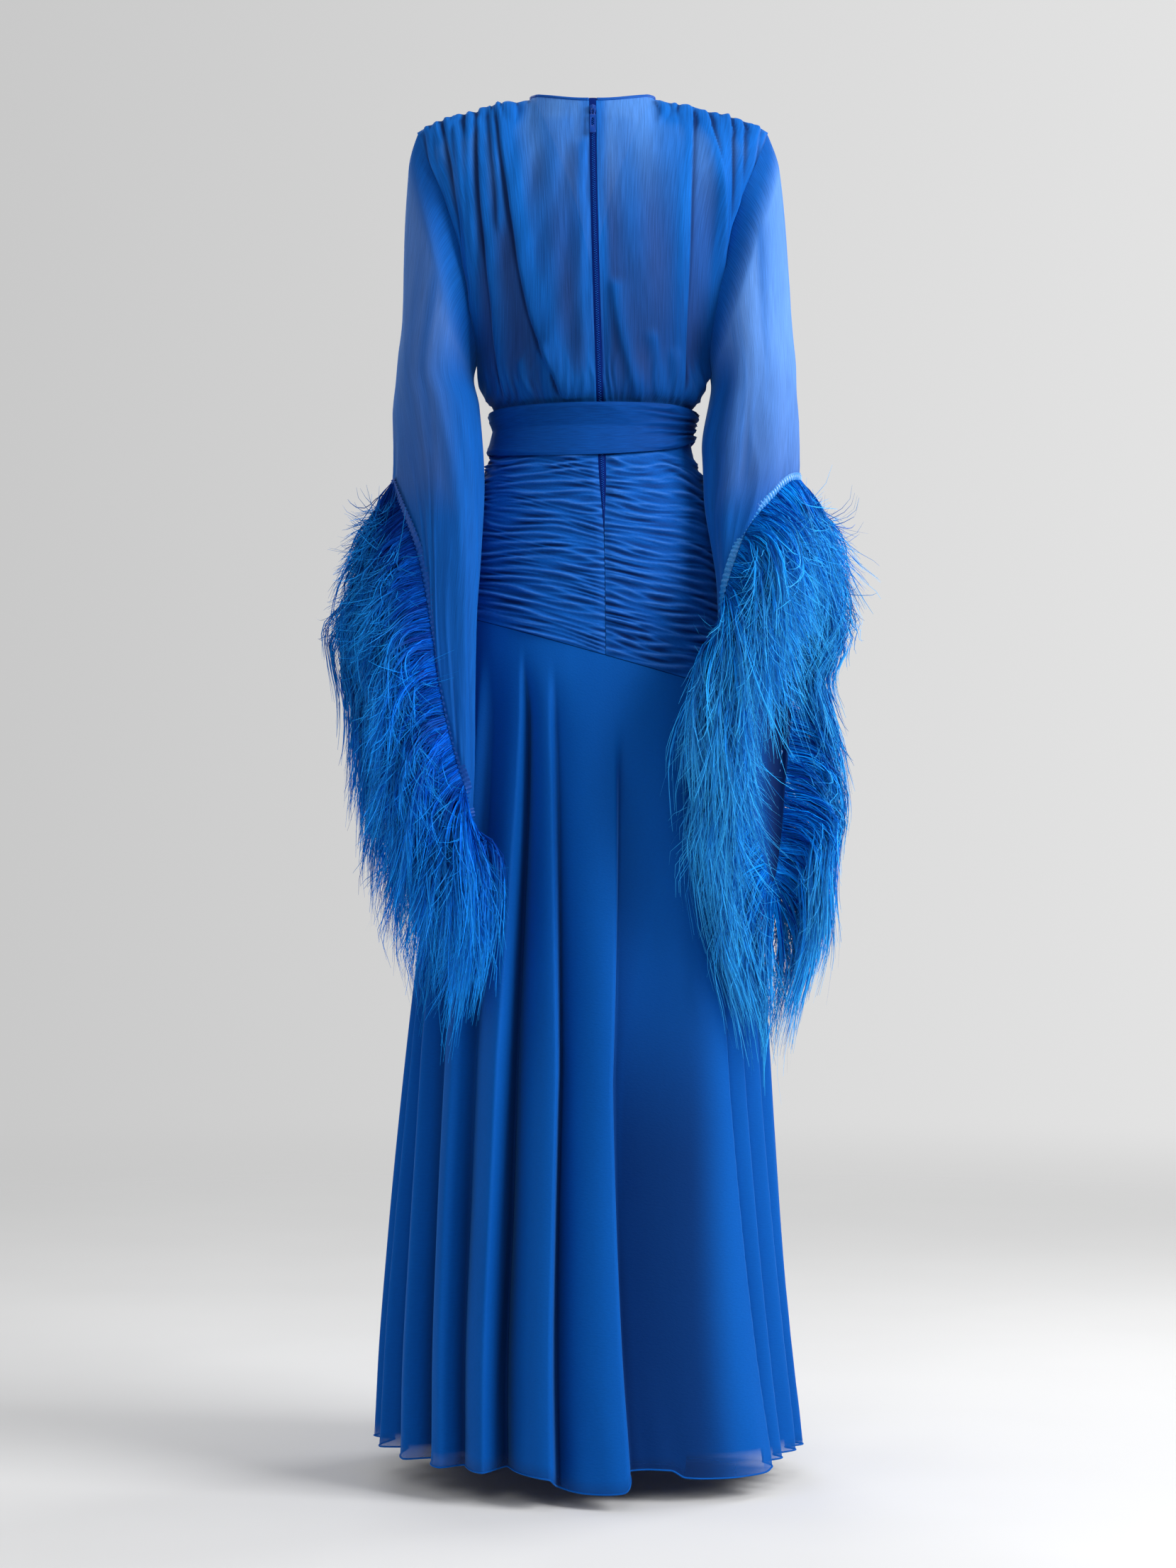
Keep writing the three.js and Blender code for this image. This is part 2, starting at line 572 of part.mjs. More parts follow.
// The sleeve's outer grid, hem first, with its last rows TAPE_WIDTH apart for the trim's tape.
function sleeveGrid(shape) {
  const columns = steps(0, 1, SLEEVE_COLUMNS).slice(0, -1);
  const round = shape.side > 0 ? columns : [columns[0], ...columns.slice(1).reverse()];
  const hemRow = round.map((s) => sleevePoint(shape, s, 1));
  const tapeRow = round.map((s, i) => {
    const above = sleevePoint(shape, s, 0.9);
    return hemRow[i].clone().lerp(above, TAPE_WIDTH / hemRow[i].distanceTo(above));
  });
  const rest = [...SLEEVE_ROWS].reverse().map((t) => round.map((s) => sleevePoint(shape, s, t)));
  return [hemRow, tapeRow, ...rest];
}

function sleeve(shape) {
  const outer = sleeveGrid(shape);
  const inner = moved(outer, -WALL, true);
  // At the armhole seam the wall's inner edge stays off the bodice too.
  inner.at(-1).forEach((p, i) => (p.x = shape.side * max(shape.side * p.x, shape.side * outer.at(-1)[i].x)));
  return wall(outer, inner, true);
}

// A closed geometry as a solid for joining.
function solid(geometry) {
  const bare = new THREE.BufferGeometry().setAttribute("position", geometry.getAttribute("position"));
  bare.setIndex(geometry.getIndex());
  const merged = mergeVertices(bare, 1e-4);
  return new wasm.Manifold(
    new wasm.Mesh({
      numProp: 3,
      vertProperties: new Float32Array(merged.getAttribute("position").array),
      triVerts: new Uint32Array(merged.getIndex().array),
    }),
  );
}

function geometryOf(made) {
  const mesh = made.getMesh();
  const geometry = new THREE.BufferGeometry();
  geometry.setAttribute("position", new THREE.BufferAttribute(new Float32Array(mesh.vertProperties), 3));
  geometry.setIndex(new THREE.BufferAttribute(new Uint32Array(mesh.triVerts), 1));
  return geometry;
}

// A three-sided lock of feather along a line of points, as wide as the widths say.
function lockGeometry(line, widths, across) {
  const points = [];
  const faces = [];
  line.forEach((p, k) => {
    const ahead = line[min(k + 1, line.length - 1)].clone().sub(line[max(k - 1, 0)]).normalize();
    const sideways = across.clone().addScaledVector(ahead, -across.dot(ahead)).normalize();
    const up = new THREE.Vector3().crossVectors(ahead, sideways);
    for (const turn of [90, 210, 330]) {
      const a = degToRad(turn);
      points.push(
        p
          .clone()
          .addScaledVector(sideways, (widths[k] / 2) * cos(a))
          .addScaledVector(up, (widths[k] / 3) * sin(a)),
      );
    }
  });
  for (let k = 0; k + 1 < line.length; k++)
    for (let i = 0; i < 3; i++) {
      const j = (i + 1) % 3;
      faces.push([3 * k + i, 3 * k + j, 3 * k + 3 + j], [3 * k + i, 3 * k + 3 + j, 3 * k + 3 + i]);
    }
  const last = 3 * (line.length - 1);
  faces.push([0, 2, 1], [last, last + 1, last + 2]);
  const geometry = new THREE.BufferGeometry().setFromPoints(points);
  geometry.setIndex(faces.flat());
  return geometry;
}

// Feather locks: they leave the hem across it, fan out and bow down under their weight.
const LOCKS = 60; // on each cuff
const LOCK_STEPS = 3;
const LOCK_WIDTHS = [1.6, 6.4, 5.2, 1.2];
const SHORT_LOCK = { drop: 430, length: 158 }; // at the top of the cuff
const LONG_LOCK = { drop: 860, length: 225 }; // and at its lowest point
const LEANS = [0.35, 0.85, 0.1]; // how far a lock may turn out of the sleeve's own surface
const ROOT_DEPTH = 1.5; // a root reaches this far into the tape
const TAPE_GAP = 0.4;
const SKIRT_CLEAR = 10; // the locks stay this far off the skirt

// How near the middle and how far out the feathers hang at each drop.
const REACH = {
  left: [
    { drop: 400, inner: 200, outer: 262 },
    { drop: 520, inner: 150, outer: 285 },
    { drop: 575, inner: 112, outer: 298 },
    { drop: 680, inner: 112, outer: 290 },
    { drop: 760, inner: 114, outer: 266 },
    { drop: 860, inner: 118, outer: 262 },
    { drop: 940, inner: 126, outer: 256 },
    { drop: 1000, inner: 138, outer: 225 },
    { drop: 1068, inner: 152, outer: 180 },
  ],
  right: [
    { drop: 400, inner: 190, outer: 262 },
    { drop: 480, inner: 165, outer: 294 },
    { drop: 545, inner: 150, outer: 311 },
    { drop: 600, inner: 130, outer: 312 },
    { drop: 660, inner: 112, outer: 300 },
    { drop: 720, inner: 98, outer: 290 },
    { drop: 800, inner: 102, outer: 290 },
    { drop: 860, inner: 114, outer: 284 },
    { drop: 950, inner: 141, outer: 262 },
    { drop: 1020, inner: 170, outer: 236 },
    { drop: 1060, inner: 196, outer: 214 },
  ],
};
const BEYOND = 0.35; // a lock that would hang beyond its reach keeps this share of the rest

function clearOfSkirt(p) {
  const drop = -p.z;
  if (drop < WAIST_DROP) return p;
  const half = read(LOWER, "drop", drop, "half") + SKIRT_CLEAR;
  const depth = read(LOWER, "drop", drop, p.y >= 0 ? "back" : "front") + SKIRT_CLEAR;
  const reach = Math.hypot(p.x / half, p.y / depth);
  return reach < 1 ? p.multiply(new THREE.Vector3(1 / reach, 1 / reach, 1)) : p;
}

// Eases a point of a lock back towards the feathers' reach.
function withinReach(p, side) {
  const reach = REACH[side > 0 ? "left" : "right"];
  const x = side * p.x;
  const held = clamp(x, read(reach, "drop", -p.z, "inner"), read(reach, "drop", -p.z, "outer"));
  p.x = side * lerp(held, x, BEYOND);
  return p;
}

function lockLine(root, leave, length, side) {
  const line = [root.clone()];
  const p = root.clone();
  for (let k = 1; k <= LOCK_STEPS; k++) {
    const bow = 0.9 * smoothstep((k - 0.5) / LOCK_STEPS, -0.2, 0.8);
    const way = leave.clone().multiplyScalar(1 - bow).addScaledVector(DOWN, bow).normalize();
    p.addScaledVector(way, length / LOCK_STEPS);
    line.push(clearOfSkirt(withinReach(p.clone(), side)));
  }
  return line;
}

// A tape along the sleeve's hem with the locks' roots fused into it. Each lock takes the first of its
// leanings in which it touches neither the sleeve nor a lock that is already there.
function featherTrim(shape) {
  const tape = sleeveGrid(shape).slice(0, 2);
  const outer = moved(tape, TAPE_GAP + WALL, true);
  const inner = moved(tape, TAPE_GAP, true);
  const middle = moved(tape, TAPE_GAP + WALL / 2, true);
  const cuff = solid(sleeve(shape));
  const placed = [];
  for (let n = 0; n < LOCKS; n++) {
    const at = ((n + 0.5) / LOCKS) * middle[0].length;
    const i = Math.floor(at);
    const j = (i + 1) % middle[0].length;
    const edge = middle[0][i].clone().lerp(middle[0][j], at - i);
    const tangent = middle[0][j].clone().sub(middle[0][i]).normalize();
    const away = edge.clone().sub(middle[1][i].clone().lerp(middle[1][j], at - i));
    away.addScaledVector(tangent, -away.dot(tangent)).normalize();
    const out = outer[0][i].clone().sub(inner[0][i]).normalize();
    const share = smoothstep(-edge.z, SHORT_LOCK.drop, LONG_LOCK.drop);
    const length = lerp(SHORT_LOCK.length, LONG_LOCK.length, share) * (0.92 + 0.08 * sin(2.4 * n));
    const root = edge.clone().addScaledVector(away, -ROOT_DEPTH);
    for (let k = 0; k < LEANS.length; k++) {
      const leave = away.clone().addScaledVector(out, LEANS[(n + k) % LEANS.length]).normalize();
      const lock = solid(lockGeometry(lockLine(root, leave, length, shape.side), LOCK_WIDTHS, tangent));
      if ([cuff, ...placed].some((other) => !other.intersect(lock).isEmpty())) continue;
      placed.push(lock);
      break;
    }
  }
  return geometryOf(placed.reduce((a, b) => a.add(b), solid(wall(outer, inner, true))));
}

// The zip: a tape with its closed chain, down the back and on under the sash to the end of the hip slit.
const TAPE_THICK = 1.2;
const ZIP_TOP_DROP = 17;
const TAPE_DEPTH = 0.2; // the tape lies this far under the cloth's own surface
const zipY = (drop) => (drop < WAIST_DROP ? bodiceDepth(0, drop, true) : lowerPoint(90, drop).y);

function zipTape() {
  const upper = [362, 350, 338, 320, 290, 240, 190, 140, 100, 70, 45, 30, ZIP_TOP_DROP];
  const lower = [ZIP_END_DROP - 6, 470, 440, 410, 390, WAIST_DROP];
  const point = (across, drop) => {
    const half = (ZIP_HALF - SEAM) * slitOpening(drop) + 0.02;
    return new THREE.Vector3(backSeamX(drop) - across * half, zipY(drop) - TAPE_DEPTH, -drop);
  };
  const outer = gridOf(point, [-1, 1], [...lower, ...upper]);
  return wall(outer, moved(outer, -TAPE_THICK));
}

// The slider rides on the tape's top; its bridge holds the pull, which swings about a bar under the bridge.
const SLIDER = { width: 7.6, height: 10, thick: 2.4 };
const BRIDGE = { width: 1.6, length: 7, rise: 3.2, bar: 1 };
const PULL = { width: 7, length: 24, thick: 1.3, link: 9, arm: 1.2, bar: 1.2, gap: 2.9 };
const SLIDER_DROP = 24;

function boxAt(width, depth, height, x, y, z) {
  return new THREE.BoxGeometry(width, depth, height).translate(x, y, z);
}

function zipSlider() {
  const foot = BRIDGE.rise - BRIDGE.bar / 2;
  const sunk = 0.4; // the posts reach this far into the slider and the bridge together
  const post = (z) => boxAt(BRIDGE.width, foot + sunk, BRIDGE.bar, 0, SLIDER.thick + (foot - sunk) / 2, z);
  const end = (BRIDGE.length - BRIDGE.bar) / 2;
  const pieces = [
    boxAt(SLIDER.width, SLIDER.thick, SLIDER.height, 0, SLIDER.thick / 2, 0),
    post(end),
    post(-end),
    boxAt(BRIDGE.width, BRIDGE.bar, BRIDGE.length, 0, SLIDER.thick + BRIDGE.rise, 0),
  ];
  return geometryOf(pieces.map(solid).reduce((a, b) => a.add(b)));
}

const HINGE_OUT = SLIDER.thick + PULL.bar / 2 + 0.5; // the bar's distance from the slider's back

function zipPull() {
  const bar = new THREE.CylinderGeometry(PULL.bar / 2, PULL.bar / 2, PULL.gap + 2 * PULL.arm - 0.4, 8);
  const armX = (PULL.gap + PULL.arm) / 2;
  const arm = (side) => boxAt(PULL.arm, PULL.bar, PULL.link, side * armX, 0, -PULL.link / 2);
  const tab = boxAt(PULL.width, PULL.thick, PULL.length, 0, 0, 1.5 - PULL.link - PULL.length / 2);
  return geometryOf([bar.rotateZ(PI / 2), arm(1), arm(-1), tab].map(solid).reduce((a, b) => a.add(b)));
}

function part(name, geometry, finish) {
  const bare = geometry.clone();
  bare.computeVertexNormals();
  const mesh = new THREE.Mesh(bare, new THREE.MeshStandardMaterial(COLOURS[finish]));
  mesh.name = name;
  return mesh;
}

// The slider and its pull, tilted to lie along the back just under the neck.
function zipHardware() {
  const group = new THREE.Group();
  const rise = zipY(SLIDER_DROP + 5) - zipY(SLIDER_DROP - 5);
  group.position.set(backSeamX(SLIDER_DROP), zipY(SLIDER_DROP) + 0.5, -SLIDER_DROP);
  group.rotation.x = atan2(rise, 10);
  const pull = part("zip_pull", zipPull(), "zip");
  pull.position.y = HINGE_OUT;
  group.add(part("zip_slider", zipSlider(), "zip"), pull);
  return group;
}

const dress = new THREE.Group();
dress.add(
  part("bodice_back_left", wall(...bodiceFaces(1, 0, true)), "bodice"),
  part("bodice_back_right", wall(...bodiceFaces(0, -1, true)), "bodice"),
  part("bodice_front", wall(...bodiceFaces(-1, 1, false)), "bodice"),
  part("neck_binding", neckBinding(), "bodice"),
  part("sleeve_left", sleeve(SLEEVES.left), "sleeve"),
  part("sleeve_right", sleeve(SLEEVES.right), "sleeve"),
  part("feather_trim_left", featherTrim(SLEEVES.left), "feather"),
  part("feather_trim_right", featherTrim(SLEEVES.right), "feather"),
  part("waist_sash", waistSash(), "sash"),
  part("hip_yoke_back_left", yokeBack(1), "yoke"),
  part("hip_yoke_back_right", yokeBack(-1), "yoke"),
  part("hip_yoke_front", yokeFront(), "yoke"),
  part("skirt_back", skirtPanel(0, 180), "skirt"),
  part("skirt_front", skirtPanel(180, 360), "skirt"),
  part("zip_tape", zipTape(), "zip"),
  zipHardware(),
);

export default dress;
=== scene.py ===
import math

import bmesh
import bpy
import numpy as np
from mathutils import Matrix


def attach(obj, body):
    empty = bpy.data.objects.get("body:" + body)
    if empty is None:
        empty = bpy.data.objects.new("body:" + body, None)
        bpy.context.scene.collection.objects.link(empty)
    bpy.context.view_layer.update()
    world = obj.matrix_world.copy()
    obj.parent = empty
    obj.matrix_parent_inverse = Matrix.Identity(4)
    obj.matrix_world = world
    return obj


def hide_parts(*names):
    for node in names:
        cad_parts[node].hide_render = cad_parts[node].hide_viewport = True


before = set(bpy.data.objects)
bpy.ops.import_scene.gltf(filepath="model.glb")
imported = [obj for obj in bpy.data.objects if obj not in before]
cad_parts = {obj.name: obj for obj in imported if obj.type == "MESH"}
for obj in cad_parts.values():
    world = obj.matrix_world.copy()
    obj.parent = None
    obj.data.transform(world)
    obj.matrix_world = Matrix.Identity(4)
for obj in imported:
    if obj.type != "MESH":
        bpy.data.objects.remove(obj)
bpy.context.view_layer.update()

MM = 0.001
DOWN = np.array([0.0, 0.0, -1.0])
SIDEWAYS = np.array([1.0, 0.0, 0.0])

# Driving sizes, as in the solids
WAIST_DROP = 374
UNDERARM_DROP = 290
TIP_HALF = 198
TIP_DROP = 38
NECK_HALF = 70
NECK_SHARE = 0.375
BACK_NECK_DROP = 13
FRONT_NECK_DROP = 205
SHOULDER_Y = 4
SHOULDER_ROLL = 90
YOKE_DROP = 626
YOKE_SLANT = 0.28
ZIP_HALF = 4
ZIP_END_DROP = 502
CENTRE_SHIFT = -14
ARMHOLE_TUCK = 1.2
HEAD_LENGTH = 42


def table(names, rows):
    """A table with named columns."""
    columns = np.array(rows, dtype=float).T
    return dict(zip(names, columns))


TORSO = table(("drop", "side", "oval", "back", "front"), [
    (36, 198, 207, 82, 78),
    (60, 190, 205, 86, 86),
    (100, 173, 196, 92, 98),
    (150, 155, 178, 96, 110),
    (200, 142, 162, 98, 118),
    (250, 133.5, 145, 98, 122),
    (290, 128.5, 128.5, 96, 120),
    (324, 124, 124, 94, 110),
    (337, 121, 121, 90, 101),
    (347, 113, 113, 82, 90),
    (374, 108, 108, 77, 84),
])
SHOULDER = table(("x", "z"), [
    (0, 30), (35, 22), (60, 8), (70, 0), (97, -6), (124, -13), (160, -21), (184, -29), (198, -37),
])
LOWER = table(("drop", "half", "back", "front", "shift"), [
    (374, 108, 77, 84, 0),
    (405, 114, 84, 90, 0),
    (430, 124, 93, 96, 0),
    (470, 139, 103, 102, 0),
    (520, 152, 114, 108, 0),
    (570, 160, 121, 112, 0),
    (620, 164, 124, 115, 0),
    (680, 168, 127, 118, 0),
    (780, 177, 134, 126, 0),
    (900, 189, 146, 138, 1),
    (1020, 199, 160, 150, 3),
    (1150, 208, 175, 165, 6),
    (1280, 218, 190, 180, 8),
    (1400, 228, 204, 194, 8),
    (1526, 238, 218, 208, 5),
])
SASH = table(("turn", "top", "bottom"), [
    (0, 355, 400), (45, 351, 406), (90, 349, 407), (135, 349, 399), (180, 354, 385), (225, 351, 398),
    (270, 350, 404), (315, 352, 402), (360, 355, 400),
])
SECTION = ("drop", "x", "y", "out", "across", "turn")
SLEEVE_FOLD = ("turn", "wide", "depth", "start")
# For each sleeve, pale says how much painted light brightens its top, and inside how dark the painted shade
# is on its lower inner front.
SLEEVES = {
    "left": {
        "side": 1,
        "arm": 92,
        "pale": 0.4,
        "inward": 0,
        "inside": 0.3,
        "sections": table(SECTION, [
            (50, 160, 4, 46, 46, 0),
            (150, 166, 6, 44, 62, 0),
            (250, 173, 10, 42, 68, 0),
            (310, 178, 15, 43, 72, 4),
            (350, 175, 27, 47, 76, 12),
            (430, 173, 45, 45, 84, 23),
            (520, 178, 80, 41, 87, 33),
            (600, 182, 98, 38, 84, 38),
            (700, 179, 112, 32, 72, 42),
            (800, 169, 124, 24, 52, 45),
            (850, 162, 130, 17, 36, 45),
        ]),
        "hem": table(("turn", "drop"), [
            (-14, 435), (4, 466), (20, 505), (31, 556), (38, 610), (43, 664), (53, 718), (72, 765),
            (100, 806), (135, 832), (175, 822), (208, 778), (232, 718), (252, 652), (272, 590),
            (296, 525), (322, 463), (346, 435),
        ]),
        "folds": table(SLEEVE_FOLD, [
            (62, 16, 5, 180), (92, 15, 6, 240), (122, 15, 5, 300),
            (216, 18, 4, 260), (262, 18, 5, 240), (306, 16, 4, 220),
        ]),
    },
    "right": {
        "side": -1,
        "arm": 95,
        "pale": 1.0,
        "inward": 13,
        "inside": 0.85,
        "sections": table(SECTION, [
            (50, 160, 4, 47, 46, 0),
            (150, 168, 6, 50, 62, 0),
            (250, 174, 10, 48, 68, 0),
            (310, 179, 14, 46, 72, 0),
            (350, 180, 18, 47, 73, 3),
            (430, 183, 34, 48, 77, 12),
            (500, 186, 60, 44, 78, 24),
            (600, 187, 84, 37, 75, 32),
            (700, 190, 98, 31, 68, 38),
            (800, 195, 106, 25, 50, 38),
            (900, 199, 109, 18, 32, 38),
        ]),
        "hem": table(("turn", "drop"), [
            (-4, 431), (22, 435), (45, 453), (64, 478), (81, 511), (97, 555), (112, 606), (131, 660),
            (153, 722), (172, 790), (196, 858), (218, 878), (236, 830), (246, 752), (258, 668),
            (276, 580), (300, 500), (330, 448), (356, 431),
        ]),
        "folds": table(SLEEVE_FOLD, [
            (36, 15, 4, 200), (80, 16, 5, 220), (126, 17, 5, 280),
            (200, 18, 4, 300), (250, 18, 5, 240), (304, 16, 4, 220),
        ]),
    },
}


def smooth(x, a, b):
    t = np.clip((np.asarray(x, dtype=float) - a) / (b - a), 0, 1)
    return t * t * (3 - 2 * t)


def lerp(a, b, t):
    return a + (b - a) * t


def read(rows, place, at, column):
    """One column of a table at places along it, by a cubic through its rows."""
    xs = rows[place]
    ys = rows[column]
    at = np.asarray(at, dtype=float)
    slope = np.empty_like(ys)
    slope[1:-1] = (ys[2:] - ys[:-2]) / (xs[2:] - xs[:-2])
    slope[0] = (ys[1] - ys[0]) / (xs[1] - xs[0])
    slope[-1] = (ys[-1] - ys[-2]) / (xs[-1] - xs[-2])
    i = np.clip(np.searchsorted(xs, at, side="right") - 1, 0, len(xs) - 2)
    span = xs[i + 1] - xs[i]
    t = np.clip((at - xs[i]) / span, 0, 1)
    t2 = t * t
    t3 = t2 * t
    return (
        (2 * t3 - 3 * t2 + 1) * ys[i]
        + (t3 - 2 * t2 + t) * span * slope[i]
        + (3 * t2 - 2 * t3) * ys[i + 1]
        + (t3 - t2) * span * slope[i + 1]
    )


def stack(x, y, z):
    return np.stack(np.broadcast_arrays(x, y, z), axis=-1)


def wobble(x, y, seed, wave_x, wave_y, terms=5):
    """Smooth seeded unevenness between about -1 and 1, with the given wavelengths."""
    rng = np.random.default_rng(seed)
    total = np.zeros(np.broadcast(x, y).shape)
    for _ in range(terms):
        a, b = rng.normal(0, 1, 2)
        phase = rng.uniform(0, 2 * math.pi)
        total = total + np.sin(2 * math.pi * (a * x / wave_x + b * y / wave_y) + phase)
    return total / terms ** 0.5 / 1.2


def normals(grid, ring=False):
    """Outward normals of a grid whose columns run anticlockwise and whose rows run up."""
    if ring:
        across = np.roll(grid, -1, axis=1) - np.roll(grid, 1, axis=1)
    else:
        across = np.gradient(grid, axis=1)
    along = np.gradient(grid, axis=0)
    n = np.cross(across, along)
    return n / np.maximum(np.linalg.norm(n, axis=-1, keepdims=True), 1e-9)


def hollows(height, axis, reach, deep):
    """From 0 to 1, how far each point of a relief lies below the mean height around it."""
    kernel = np.hanning(2 * reach + 3)[1:-1]
    width = [(0, 0), (0, 0)]
    width[axis] = (reach, reach)
    padded = np.pad(height, width, mode="edge")
    mean = np.apply_along_axis(lambda row: np.convolve(row, kernel / kernel.sum(), "valid"), axis, padded)
    return np.clip((mean - height) / deep, 0, 1)


# Meshes


def link(obj):
    bpy.context.scene.collection.objects.link(obj)
    return obj


def new_mesh(name, vertices, faces, material):
    """A smooth mesh in metres, from points in millimetres and an array of quads."""
    mesh = bpy.data.meshes.new(name)
    mesh.vertices.add(len(vertices))
    mesh.vertices.foreach_set("co", (vertices * MM).astype(np.float32).ravel())
    mesh.loops.add(faces.size)
    mesh.loops.foreach_set("vertex_index", faces.astype(np.int32).ravel())
    mesh.polygons.add(len(faces))
    mesh.polygons.foreach_set("loop_start", np.arange(0, faces.size, faces.shape[1], dtype=np.int32))
    mesh.update(calc_edges=True)
    mesh.materials.append(material)
    mesh.shade_smooth()
    return link(bpy.data.objects.new(name, mesh))


def point_values(obj, name, values):
    layer = obj.data.attributes.new(name, "FLOAT", "POINT")
    layer.data.foreach_set("value", np.asarray(values).astype(np.float32).ravel())


def grid_faces(rows, columns, ring):
    j, i = np.meshgrid(np.arange(rows - 1), np.arange(columns if ring else columns - 1), indexing="ij")
    k = (i + 1) % columns
    corners = [j * columns + i, j * columns + k, (j + 1) * columns + k, (j + 1) * columns + i]
    return np.stack(corners, axis=-1).reshape(-1, 4), i.ravel(), j.ravel()


def grid_mesh(name, grid, material, ring=False, **values):
    """A sheet over a grid of points. The attribute "cloth" holds each corner's place across and along it."""
    rows, columns = grid.shape[:2]
    faces, i, j = grid_faces(rows, columns, ring)
    obj = new_mesh(name, grid.reshape(-1, 3), faces, material)
    closed = np.concatenate([grid, grid[:, :1]], axis=1) if ring else grid
    width = np.linalg.norm(np.diff(closed, axis=1), axis=-1).mean(axis=0)
    across = np.concatenate([[0], np.cumsum(width)]) * MM
    length = np.linalg.norm(np.diff(grid, axis=0), axis=-1).mean(axis=1)
    along = np.concatenate([[0], np.cumsum(length)]) * MM
    corner_i = np.stack([i, i + 1, i + 1, i], axis=-1).ravel()
    corner_j = np.stack([j, j, j + 1, j + 1], axis=-1).ravel()
    cloth = np.stack([across[corner_i], along[corner_j], np.zeros(corner_i.size)], axis=-1)
    layer = obj.data.attributes.new("cloth", "FLOAT_VECTOR", "CORNER")
    layer.data.foreach_set("vector", cloth.astype(np.float32).ravel())
    for key, value in values.items():
        point_values(obj, key, value)
    return obj


def unit(vectors):
    return vectors / np.maximum(np.linalg.norm(vectors, axis=-1, keepdims=True), 1e-9)


def tube(path, high, wide=None, sides=6, closed=False, up=None):
    """Points and quads of a tube; up says which way its height lies. Open ends draw to a point."""
    path = np.asarray(path, dtype=float)
    wide = high if wide is None else wide
    count = len(path)
    ahead = np.roll(path, -1, axis=0) - np.roll(path, 1, axis=0) if closed else np.gradient(path, axis=0)
    ahead = unit(ahead)
    up = np.array([0.31, 0.17, 0.94]) if up is None else up
    sideways = unit(np.cross(ahead, up))
    upward = np.cross(sideways, ahead)
    turns = np.linspace(0, 2 * math.pi, sides, endpoint=False)[None, :, None]
    size = np.ones(count)
    if not closed:
        size[[0, -1]] = 0.05
    ring = sideways[:, None] * np.cos(turns) * wide + upward[:, None] * np.sin(turns) * high
    points = (path[:, None] + size[:, None, None] * ring).reshape(-1, 3)
    a, s = np.meshgrid(np.arange(count if closed else count - 1), np.arange(sides), indexing="ij")
    b = (a + 1) % count
    t = (s + 1) % sides
    faces = np.stack([a * sides + s, a * sides + t, b * sides + t, b * sides + s], axis=-1)
    return points, faces.reshape(-1, 4)


def joined(parts):
    """Several sets of points and quads as one."""
    points = []
    faces = []
    start = 0
    for vertices, quads in parts:
        points.append(vertices)
        faces.append(quads + start)
        start += len(vertices)
    return np.concatenate(points), np.concatenate(faces)


def stitches(path, length, gap, radius, up):
    """A row of stitches along a path: short threads that dip into the cloth at both ends."""
    steps = np.linalg.norm(np.diff(path, axis=0), axis=1)
    at = np.concatenate([[0], np.cumsum(steps)])
    parts = []
    for start in np.arange(gap, at[-1] - length - gap, length + gap):
        places = start + length * np.array([0, 0.2, 0.5, 0.8, 1])
        points = np.stack([np.interp(places, at, path[:, k]) for k in range(3)], axis=1)
        lift = np.stack([np.interp(places, at, up[:, k]) for k in range(3)], axis=1)
        rise = np.array([-0.5, 0.3, 0.5, 0.3, -0.5])[:, None] * radius
        parts.append(tube(points + lift * rise, radius, sides=4))
    return joined(parts)


# Materials


class Nodes:
    """A short way to add and link the nodes of a material or world."""

    def __init__(self, owner):
        self.owner = owner
        owner.use_nodes = True
        self.tree = owner.node_tree
        self.shader = self.tree.nodes.get("Principled BSDF")

    def add(self, kind, **values):
        node = self.tree.nodes.new(kind)
        for key, value in values.items():
            if key in node.inputs:
                node.inputs[key].default_value = value
            else:
                setattr(node, key, value)
        return node

    def link(self, source, target):
        self.tree.links.new(source, target)

    def attribute(self, name, output="Fac"):
        return self.add("ShaderNodeAttribute", attribute_name=name).outputs[output]

    def noise(self, vector, scale, detail=2.0):
        mapping = self.add("ShaderNodeMapping", Scale=scale)
        self.link(vector, mapping.inputs["Vector"])
        noise = self.add("ShaderNodeTexNoise", Scale=1.0, Detail=detail)
        self.link(mapping.outputs["Vector"], noise.inputs["Vector"])
        return noise.outputs["Fac"]

    def ramp(self, factor, *stops):
        ramp = self.add("ShaderNodeValToRGB")
        elements = ramp.color_ramp.elements
        while len(elements) < len(stops):
            elements.new(0.5)
        for element, (place, colour) in zip(elements, stops):
            element.position = place
            element.color = (*colour, 1)
        self.link(factor, ramp.inputs["Fac"])
        return ramp.outputs["Color"]

    def mix(self, factor, a, b, kind="MIX"):
        mix = self.add("ShaderNodeMix", data_type="RGBA", blend_type=kind)
        for socket, value in ((mix.inputs[0], factor), (mix.inputs[6], a), (mix.inputs[7], b)):
            if isinstance(value, tuple):
                socket.default_value = (*value, 1)
            elif isinstance(value, (int, float)):
                socket.default_value = value
            else:
                self.link(value, socket)
        return mix.outputs[2]

    def bump(self, height, distance, strength, below=None):
        bump = self.add("ShaderNodeBump", Strength=strength, Distance=distance)
        self.link(height, bump.inputs["Height"])
        if below is not None:
            self.link(below, bump.inputs["Normal"])
        return bump.outputs["Normal"]

    def finish(self, **values):
        for key, value in values.items():
            self.shader.inputs[key.replace("_", " ")].default_value = value
        return self.owner

    def span(self, value, low, high, to_low, to_high):
        span = self.add("ShaderNodeMapRange")
        for key, limit in (("From Min", low), ("From Max", high), ("To Min", to_low), ("To Max", to_high)):
            span.inputs[key].default_value = limit
        self.link(value, span.inputs["Value"])
        return span.outputs["Result"]


def grey(value):
    return (value, value, value)


# Painted shade: the colour towards which the chiffon is darkened in its folds and wherever else painted shade
# falls.
PAINTED_SHADE_COLOUR = (0.0, 0.004, 0.045)


